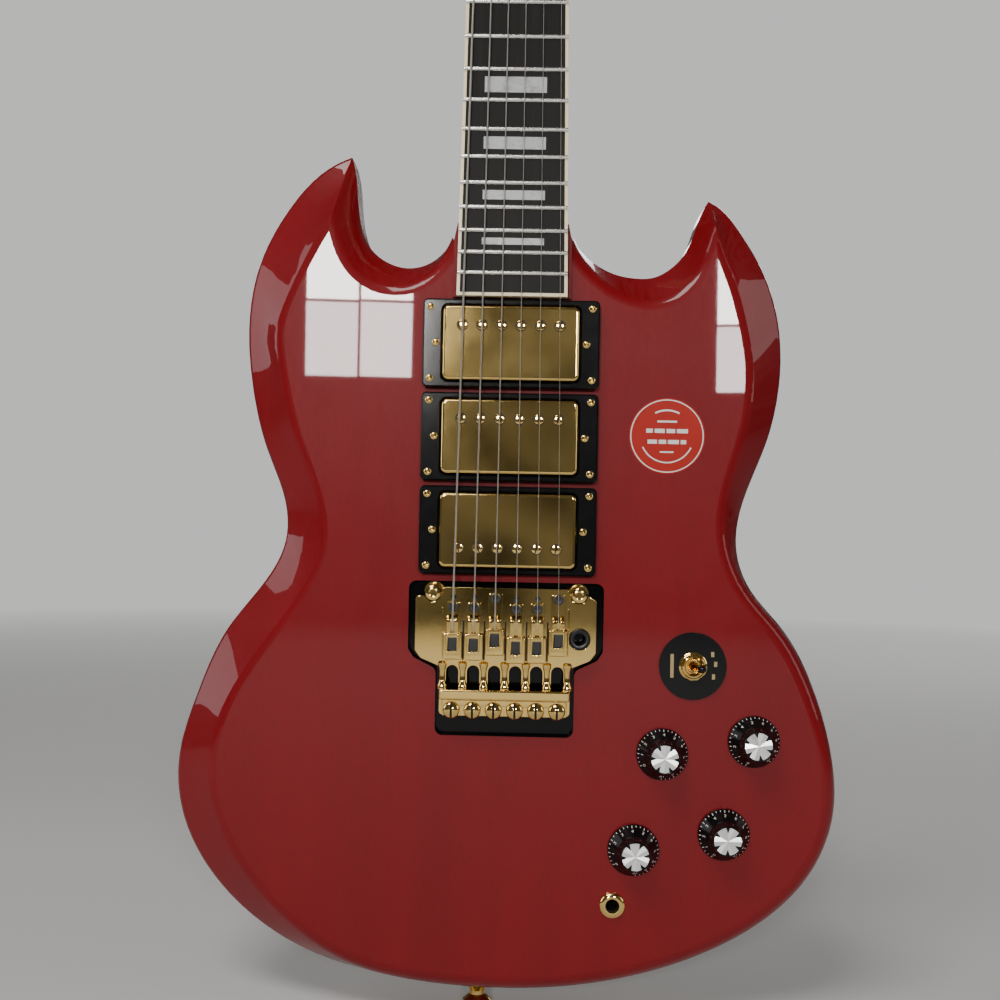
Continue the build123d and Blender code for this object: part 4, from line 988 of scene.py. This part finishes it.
def saddle(string):
    x, lock, screw = strings_x[string], lock_z[string], screw_z[string]
    pocket = [rectangle(4.4, 6.6, x, lock)]
    block_line = rounded_outline(rectangle(9.8, 13.4, x, lock - 1.2), 1.1)
    block = pierced_plate("block", block_line, pocket, plate_high, 10.6, whole_plate, 0.7)
    rim_line = rounded_outline(rectangle(7.0, 10.4, x, lock + 0.4), 1.3)
    rim = pierced_plate("rim", rim_line, pocket, 10.5, 11.5, whole_plate, 0.35)
    slope = [(lock + 4.6, 6), (lock + 4.6, 11.0), (lock + 7.0, 11.6), (189.6, 12.1), (190.8, 12.9),
             (192.4, 12.8), (193.6, 11.4), (194.6, 8.4), (194.8, 6)]
    inner, outer = 1.0, 2.9
    cheeks = [side_profile("cheek", slope, *sorted((x + side * inner, x + side * outer)))
              for side in (-1, 1)]
    bed_line = [(lock + 4.6, 6), (lock + 4.6, 9.6), (188.5, 10.9), (191.4, 11.4), (192.6, 10.9),
                (194.0, 9.0), (194.6, 6)]
    bed = side_profile("bed", bed_line, x - 1.1, x + 1.1, 0)
    foot_low, foot_high = lock + 5, screw + 2.6
    foot_line = rectangle(7.4, foot_high - foot_low, x, (foot_high + foot_low) / 2)
    foot = plate("foot", rounded_outline(foot_line, 1.4), plate_high, 7.5, whole_plate, 0.3)
    return [block, rim, foot, bed, *cheeks]


saddles = [part for string in range(6) for part in saddle(string)]
add_piece("string_saddles", joined("string_saddles", saddles), "tremolo", "gold", ["saddles"])
locks = [plate("lock", rounded_outline(rectangle(4.2, 6.4, x, z), 0.3), 6.4, 11.3, whole_plate, 0.3)
         for x, z in zip(strings_x, lock_z)]
add_piece("lock_blocks", joined("lock_blocks", locks), "tremolo", "black_steel", ["string_locks"])
print("six saddles with their locks")

# %% [markdown]
# Each saddle is held by a black socket-head screw. Where the saddle leaves a spare tapped hole free, a flat
# black disc of painted shade stands for the hole, and thin strips of painted shade darken the gaps between
# the saddles. The arm's socket is a black collar, turned in one profile.

# %% Saddle screws and arm socket
cap_profile = [(0, 6.0), (2.55, 6.0), (2.6, 6.15), (2.6, 8.4), (2.35, 8.7), (1.45, 8.7), (1.4, 7.4),
               (0, 7.2)]
cap = turned("cap", cap_profile, upright, 20)
cap_spots = [(x * MM, face_y - 1.4 * MM, z * MM) for x, z in zip(strings_x, screw_z)]
# Flat black discs of painted shade stand for the spare holes.
spare = turned("spare", [(0, 6.02), (1.5, 6.02), (1.35, 6.1), (1.2, 6.06), (0, 6.05)], upright, 16)
spare_spots = [(x * MM, face_y, (z + 4.9) * MM) for x, z in zip(strings_x, screw_z) if z < 200]
add_piece("saddle_screws", repeated("saddle_screws", cap, cap_spots, "black_steel"), "tremolo",
          "black_steel")
add_piece("spare_holes", repeated("spare_holes", spare, spare_spots, "black_steel"), "tremolo",
          "black_steel")
socket = [(3.05, 0.5), (5.3, 0.5), (5.4, 0.7), (5.4, 6.9), (5.1, 7.3), (4.75, 7.4), (4.55, 7.05),
          (4.35, 7.05), (4.2, 7.4), (3.5, 7.4), (3.1, 7.1), (3.05, 6.6), (3.05, 0.5)]
collar = turned("arm_socket_collar", socket, on_face(*[v * MM for v in arm_spot]), 48, 40)
add_piece("arm_socket_collar", collar, "tremolo", "black_steel", ["arm_collar"])
# Thin dark strips between the saddles are painted shade: they darken the gaps where little light reaches.
between = [(low + high) / 2 for low, high in zip(strings_x, strings_x[1:])]
gaps = [plate("gap", rectangle(0.75, 20.0, x, 181.6), plate_high, 8.6, whole_plate, 0) for x in between]
add_piece("saddle_gaps", joined("saddle_gaps", gaps), "tremolo", "slot_shadow")
print(len(cap_spots), "saddle screws,", len(spare_spots), "spare holes")

# %% [markdown]
# The fine tuners are large thumb screws with a domed, slotted head. Each one turns by itself, so each
# rides on its own body. The studs are turned posts with a groove that the plate's knife edges sit in.

# %% Fine tuners and studs
tuner_dome = [(0, 8.6), (4.1, 8.6), (4.35, 8.8), (4.4, 9.2), (4.2, 9.9), (3.6, 10.6), (2.6, 11.15),
              (1.4, 11.45), (0, 11.5)]
for number in range(1, 7):
    spot = joint_place(f"fine_tuner_{number}_turn")
    head = slotted_head("head", tuner_dome, 1.15, 9.4)
    shank = turned("shank", [(0, 3.0), (1.5, 3.0), (1.7, 3.3), (1.7, 8.7), (0, 8.7)], None, 20)
    mesh = joined(f"fine_tuner_screw_{number}", [head, shank])
    mesh.transform(on_face(spot.x, spot.z))
    body = f"fine_tuner_{number}"
    add_piece(f"fine_tuner_screw_{number}", mesh, body, "gold", [body])
    shadow = slot_floor("shadow", 1.14, 8.3, 9.4, on_face(spot.x, spot.z))
    add_piece(f"fine_tuner_slot_{number}", shadow, body, "slot_shadow")
stud = [(0, -22), (5.0, -22), (5.4, -21.6), (5.4, -6.3), (5.2, -6.0), (3.7, -6.0), (3.7, 3.2),
        (3.1, 3.8), (3.1, 5.8), (3.75, 6.5), (3.9, 7.2), (3.7, 8.1), (3.0, 8.5), (2.2, 8.6), (1.8, 8.5),
        (1.7, 7.0), (0, 7.0)]
studs = [turned("stud", stud, on_face(side * stud_x * MM, pivot_z * MM), 36) for side in (-1, 1)]
add_piece("pivot_studs", joined("pivot_studs", studs), "instrument", "gold", ["tremolo_studs"])
print("six fine tuners, two studs")

# %% [markdown]
# ## Springs behind the tremolo
# Three coil springs in the back of the body pull against the strings. A coil is a path that climbs as it
# turns, so its points come from one short rule, and its two ends lead straight to block and claw.

# %% Coil springs
spring_low, spring_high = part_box("tremolo_springs")
coil_radius = (spring_high.y - spring_low.y) / 2 - 0.75 * MM
coil_y = (spring_high.y + spring_low.y) / 2


def coil(x, turns=26, per_turn=14):
    low, high = spring_low.z + 9 * MM, spring_high.z - 9 * MM
    points = [(x, coil_y, spring_low.z + 0.5 * MM), (x, coil_y, low - 2.5 * MM)]
    for step in range(turns * per_turn + 1):
        angle = 2 * math.pi * step / per_turn
        side, back = coil_radius * math.cos(angle), coil_radius * math.sin(angle)
        points.append((x + side, coil_y + back, low + (high - low) * step / (turns * per_turn)))
    return points + [(x, coil_y, high + 2.5 * MM), (x, coil_y, spring_high.z - 0.5 * MM)]


coils = [wire("coil", coil(x * MM), 0.7 * MM, 8) for x in (-12.0, 0.0, 12.0)]
add_bending("coil_springs", joined("coil_springs", coils), "steel", ["tremolo_springs"])
print("three coil springs")

# %% [markdown]
# ## Pickups
# The covers of the model are right as they are: a drawn gold cup with soft edges. What they lack are the
# pole screws: six slotted domes, each in a small dark ring where it passes through the cover.
# They are one shape on six points, turned a little differently, as real ones are after adjusting. They
# stay low enough to clear the strings when a pickup is raised to its limit.

# %% Pole screws
pole_profile = [(0, 8.2), (2.45, 8.2), (2.5, 8.5), (2.3, 8.8), (1.6, 8.95), (0, 8.98)]
pole_pitch = 9.9
gap_ring = turned("gap", [(2.4, 8.0), (3.0, 8.0), (2.95, 8.05), (2.45, 8.05), (2.4, 8.0)], upright, 24)
pole_offset = {"neck": 9.0, "middle": 9.0, "bridge": -9.0}
for place, offset in pole_offset.items():
    low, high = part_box(f"coils_{place}")
    row_z = (low.z + high.z) / 2 + offset * MM
    spots = [(pole_pitch * (index - 2.5) * MM, face_y, row_z) for index in range(6)]
    turns = [0.35 * math.sin(7.3 * index + offset) for index in range(6)]
    pole = slotted_head("pole", pole_profile, 0.6, 8.71, upright, 24)
    body = f"pickup_{place}"
    add_piece(f"pole_screws_{place}", repeated("poles", pole, spots, "gold", turns), body, "gold")
    add_piece(f"pole_gaps_{place}", repeated("gaps", gap_ring, spots, "bobbin_black"), body,
              "bobbin_black")
    shadow = slot_floor("shadow", 0.58, 4.4, 8.72, upright)
    add_piece(f"pole_slots_{place}", repeated("slots", shadow, spots, "slot_shadow", turns), body,
              "slot_shadow")
print("eighteen pole screws")

# %% [markdown]
# Four small screws hold each ring at its corners, and two more at the middle of its short sides set the
# pickup's height. All have the same domed head with a dished middle.

# %% Screws of the pickup rings
corner_x, corner_z, height_x = 41.2, 18.2, 38.3
ring_places, height_places = [], []
for place in pole_offset:
    low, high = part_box(f"coils_{place}")
    middle_z = (low.z + high.z) / 2
    ring_places += [(x * MM, face_y, middle_z + dz * MM)
                    for x in (-corner_x, corner_x) for dz in (-corner_z, corner_z)]
    height_places += [(x * MM, face_y, middle_z) for x in (-height_x, height_x)]
screw_head = cross_head("head", 1.95, 6.0, 7.3, 12.0, upright)
screws = joined("ring_screws", [repeated("corner", screw_head, ring_places, "gold"),
                                repeated("height", screw_head, height_places, "gold")])
add_piece("ring_screws", screws, "instrument", "gold", ["face_screws"])
print(len(ring_places) + len(height_places), "ring screws")

# %% [markdown]
# ## Toggle switch
# A black plate under a domed gold nut, with a short lever that leans to one side. The printed marks on
# the plate are plain bars, one long and a few short, because lettering would name a position.

# %% Nut, lever and marks
toggle_spot = joint_place("toggle_throw")
toggle_place = on_face(toggle_spot.x, toggle_spot.z)
nut_profile = [(4.2, 1.2), (7.0, 1.2), (7.2, 1.5), (7.2, 2.2), (6.7, 2.6), (6.3, 2.7), (6.2, 3.6),
               (5.6, 4.3), (4.9, 4.5), (4.3, 4.2), (4.0, 3.4), (3.9, 1.2), (4.2, 1.2)]
case_low, case_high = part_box("toggle_switch")
case_size = ((case_high.x - case_low.x) / MM - 0.4, (case_high.z - case_low.z) / MM - 0.4)
case_bottom = -(case_high.y - face_y) / MM
bush_profile = [(0, -8), (5.9, -8), (6.0, -7.8), (6.0, 1.1), (5.8, 1.3), (4.2, 1.3), (4.1, -2.0),
                (0, -2.4)]
case_line = rounded_outline(rectangle(*case_size), 1.5)
switch_parts = [
    turned("nut", nut_profile, toggle_place, 48, 40),
    turned("bush", bush_profile, toggle_place, 40),
    plate("case", case_line, case_bottom, -7.5, toggle_place, 0.6),
]
add_piece("toggle_nut", joined("toggle_nut", switch_parts), "instrument", "gold", ["toggle_switch"])
lean = Matrix.Rotation(math.radians(14), 4, "Y")
lever_profile = [(0, 0.5), (2.2, 0.5), (2.3, 2.0), (1.6, 4.5), (1.5, 9.0), (1.7, 11.0), (0, 11.0)]
tip_profile = [(0, 10.9), (1.8, 10.9), (2.0, 11.6), (2.1, 12.8), (2.0, 13.9), (1.5, 14.8), (0.8, 15.1),
               (0, 15.2)]
stalk = turned("toggle_stalk", lever_profile, toggle_place @ lean, 24)
tip = turned("toggle_tip", tip_profile, toggle_place @ lean, 32)
add_piece("toggle_stalk", stalk, "toggle_lever", "gold", ["toggle_lever"])
add_piece("toggle_tip", tip, "toggle_lever", "black_gloss")
bars = [rectangle(1.7, 12.0, -10.6, 0), rectangle(1.6, 2.6, 10.0, 6.2), rectangle(1.6, 2.6, 11.6, 1.2),
        rectangle(1.6, 2.6, 10.6, -5.2)]
marks = [plate("bar", bar, 1.2, 1.24, toggle_place, 0) for bar in bars]
add_piece("toggle_marks", joined("toggle_marks", marks), "instrument", "gold_print")
cup = [(0, -2.3), (4.0, -2.0), (4.05, 1.2), (3.8, 1.2), (3.8, -1.8), (0, -2.1)]
add_piece("toggle_cup", turned("toggle_cup", cup, toggle_place, 40), "instrument", "gold_satin")
print("toggle at", [round(part, 4) for part in toggle_spot])

# %% [markdown]
# ## Output jack
# A gold ring nut with a deep dark hole that takes the plug of an instrument cable. One turned profile
# makes nut, bushing and barrel, and a thin cup of painted shade inside keeps the hole black.

# %% Jack
jack_low, jack_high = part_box("output_jack")
jack_place = on_face((jack_low.x + jack_high.x) / 2, (jack_low.z + jack_high.z) / 2)
jack_profile = [(0, -25), (8.8, -25), (9, -24.8), (9, -7.2), (8.8, -7), (4.7, -7), (4.7, 0), (6.5, 0),
                (6.6, 0.3), (6.6, 1.2), (6.3, 1.8), (5.6, 2.3), (4.8, 2.55), (4.2, 2.6), (3.6, 2.5),
                (3.3, 2.1), (3.3, -19), (0, -19)]
# A thin dark cup of painted shade lines the hole.
jack_shade_cup = [(0, -19), (3.29, -19), (3.29, 1.5), (3.1, 1.5), (3.1, -18.8), (0, -18.8)]
add_piece("jack_nut", turned("jack_nut", jack_profile, jack_place, 48, 40), "instrument", "gold",
          ["output_jack"])
add_piece("jack_hole", turned("jack_hole", jack_shade_cup, jack_place, 32), "instrument", "slot_shadow")
print("jack at", round(jack_low.z, 4))

# %% [markdown]
# ## Round label
# A thin glossy label sits on the upper right of the face: a red disc with a fine white ring. It carries
# only plain bars where a maker would print words.

# %% Label
label_x, label_z = 80.6, 287.3
label_place = on_face(label_x * MM, label_z * MM)
word_gap = 0.9


def bent_bar(radius, start, stop, thick, steps=14):
    """Bar that follows part of a circle, angles in degrees."""
    angles = [math.radians(start + (stop - start) * step / steps) for step in range(steps + 1)]
    outer = [((radius + thick / 2) * math.cos(a), (radius + thick / 2) * math.sin(a)) for a in angles]
    inner = [((radius - thick / 2) * math.cos(a), (radius - thick / 2) * math.sin(a)) for a in angles]
    return outer + inner[::-1]


disc = turned("disc", [(0, 0.01), (19.3, 0.01), (19.45, 0.06), (19.4, 0.12), (0, 0.14)], label_place, 96)
add_piece("label_disc", disc, "instrument", "decal_red")
ring_profile = [(18.2, 0.13), (18.75, 0.13), (18.75, 0.17), (18.2, 0.17), (18.2, 0.13)]
ring = turned("ring", ring_profile, label_place, 96)
print_bars = [bent_bar(13.2, 118, 62, 0.9), bent_bar(13.6, 205, 335, 0.7), rectangle(10.0, 1.0, 0, 7.4)]
for row_z, widths in ((2.6, (3.4, 5.2, 4.4, 5.6)), (-3.0, (4.8, 3.8, 5.6, 2.8))):
    start = -(sum(widths) + word_gap * 3) / 2
    for width in widths:
        print_bars.append(rectangle(width, 2.1, start + width / 2, row_z))
        start += width + word_gap
print_bars.append(rectangle(7.0, 0.8, 0, -8.2))
prints = [plate("print", bar, 0.13, 0.17, label_place, 0) for bar in print_bars]
add_piece("label_print", joined("label_print", [ring, *prints]), "instrument", "white_print")
print("label with", len(print_bars), "bars")

# %% [markdown]
# ## Studio floor
# The guitar stands on a pale round floor of paper. Towards its rim the paper grows transparent, so it
# fades into the pale surround and no edge of it shows from any side.

# %% Studio floor
def studio_floor(name, floor_z, radius=3.0):
    shape = bmesh.new()
    rings = [[shape.verts.new((reach * math.cos(a), reach * math.sin(a), floor_z))
              for a in (2 * math.pi * side / 64 for side in range(64))]
             for reach in (radius * step / 8 for step in range(1, 9))]
    hub = shape.verts.new((0, 0, floor_z))
    for side in range(64):
        after = (side + 1) % 64
        shape.faces.new((hub, rings[0][side], rings[0][after]))
        for low, high in zip(rings, rings[1:]):
            shape.faces.new((low[side], high[side], high[after], low[after]))
    piece = bpy.data.objects.new(name, from_bmesh(shape, name))
    bpy.context.scene.collection.objects.link(piece)
    paper = finish("studio_paper", Roughness=0.9)
    cloud = paper.noise(paper.place(), 1.5, 2.0)
    x, y, z = paper.split()
    reach = (x * x + y * y) / (radius * radius)
    shown = paper.ramp(reach, [(0.06, 1.0), (0.8, 0.0)])
    paper.set(Base_Color=paper.mix(cloud, (0.50, 0.50, 0.49), (0.54, 0.54, 0.53)), Alpha=shown)
    piece.data.materials.append(paper.material)


studio_floor("studio_floor", model_box[0][2] - MM)
print("floor at z", round(model_box[0][2] - MM, 4))

# %% [markdown]
# ## Lamps
# A glossy red face shows whatever stands in front of it. So the large soft lamps stand off to the sides
# and above, where the flat face does not mirror them, and two window-shaped lamps stand where the
# shoulders of both horns catch them.

# %% Lamps
def lamp(name, place, target, size, power, colour=(1, 1, 1)):
    light = bpy.data.lights.new(name, "AREA")
    light.shape = "RECTANGLE"
    light.size, light.size_y = size
    light.energy = power
    light.color = colour
    holder = bpy.data.objects.new(name, light)
    bpy.context.scene.collection.objects.link(holder)
    holder.location = place
    holder.rotation_euler = (Vector(target) - Vector(place)).to_track_quat("-Z", "Y").to_euler()
    return holder


def window(name, centre, target, size, panes, power, colour=(1.0, 0.98, 0.95)):
    """Lamp split into panes with thin dark bars between, as (across, up)."""
    columns, rows = panes
    width, height = size[0] / columns, size[1] / rows
    for column in range(columns):
        for row in range(rows):
            place = Vector(centre) + Vector(((column - (columns - 1) / 2) * width, 0,
                                             (row - (rows - 1) / 2) * height))
            share = 1.3 if row == rows - 1 else 0.6
            lamp(f"{name}_{column}_{row}", place, place + Vector(target) - Vector(centre),
                 (width * 0.94, height * 0.95), share * power / (columns * rows), colour)


middle = (0.0, 0.0, 0.3)
window("window_left", (-0.36, -2.2, 0.70), (-0.1, 0, 0.4), (0.24, 0.34), (2, 2), 21.0)
window("window_right", (0.50, -2.2, 0.66), (0.1, 0, 0.4), (0.16, 0.30), (1, 2), 12.0)
lamp("key_soft", (-0.55, -1.05, 1.75), (0, 0, 0.5), (0.9, 0.6), 21, (1.0, 0.98, 0.95))
lamp("soft_left", (-1.9, -0.4, 0.9), middle, (0.6, 1.2), 7, (0.97, 0.98, 1.0))
lamp("soft_right", (1.9, -0.6, 0.8), middle, (0.5, 1.0), 3.5, (1.0, 0.98, 0.96))
lamp("back_soft", (0.8, 2.0, 1.3), middle, (1.4, 1.0), 18)

# %% [markdown]
# ## Surround
# The air around the studio is pale to the camera. Polished gold needs something to mirror, so it sees a
# dim room with uneven bands instead of the same pale air.

# %% Surround
def surround(pale, dim):
    """A room that the camera sees as pale, and that polished parts see as dim and uneven."""
    world = bpy.data.worlds.new("studio_air")
    world.use_nodes = True
    tree = world.node_tree
    background = tree.nodes["Background"]
    room = tree.nodes.new("ShaderNodeTexCoord")
    cloud = tree.nodes.new("ShaderNodeTexNoise")
    cloud.inputs["Scale"].default_value = 5.0
    cloud.inputs["Detail"].default_value = 2.0
    tone = tree.nodes.new("ShaderNodeValToRGB")
    bands = ((0.30, 0.2), (0.40, 2.6), (0.46, 0.3), (0.53, 3.6), (0.60, 0.4), (0.72, 1.6))
    stops = tone.color_ramp.elements
    while len(stops) < len(bands):
        stops.new(0.5)
    for stop, (place, strength) in zip(stops, bands):
        stop.position = place
        stop.color = (dim * strength, dim * strength * 0.97, dim * strength * 0.9, 1)
    path = tree.nodes.new("ShaderNodeLightPath")
    mix = tree.nodes.new("ShaderNodeMix")
    mix.data_type = "RGBA"
    mix.inputs[7].default_value = (*pale, 1)
    tree.links.new(room.outputs["Generated"], cloud.inputs["Vector"])
    tree.links.new(cloud.outputs["Fac"], tone.inputs["Fac"])
    tree.links.new(tone.outputs["Color"], mix.inputs[6])
    tree.links.new(path.outputs["Is Camera Ray"], mix.inputs[0])
    tree.links.new(mix.outputs[2], background.inputs["Color"])
    bpy.context.scene.world = world


surround((0.66, 0.66, 0.65), 0.045)
print("world is", bpy.context.scene.world.name)

# %% [markdown]
# ## Camera
# The camera stands in front of the face and looks almost straight at it, turned by three small angles.

# %% Camera
def aim_camera(place, yaw, pitch, roll, lens):
    """Looks along +Y, then turned by three small angles."""
    camera = bpy.data.cameras.new("camera")
    camera.lens = lens
    camera.sensor_width = 36
    holder = bpy.data.objects.new("camera", camera)
    bpy.context.scene.collection.objects.link(holder)
    turn = Matrix.Rotation(roll, 3, "Z") @ Matrix.Rotation(pitch, 3, "Y") @ Matrix.Rotation(yaw, 3, "X")
    right, up, ahead = (Vector((row[0], row[2], row[1])) for row in turn)
    holder.matrix_world = basis(right, up, -ahead, Vector(place))
    bpy.context.scene.camera = holder
    return holder


view = aim_camera((0.0079, -0.6856, 0.2483), 0.0070, 0.0181, -0.0192, 46.83)
bpy.context.view_layer.update()
print("camera at", [round(part, 4) for part in view.location])
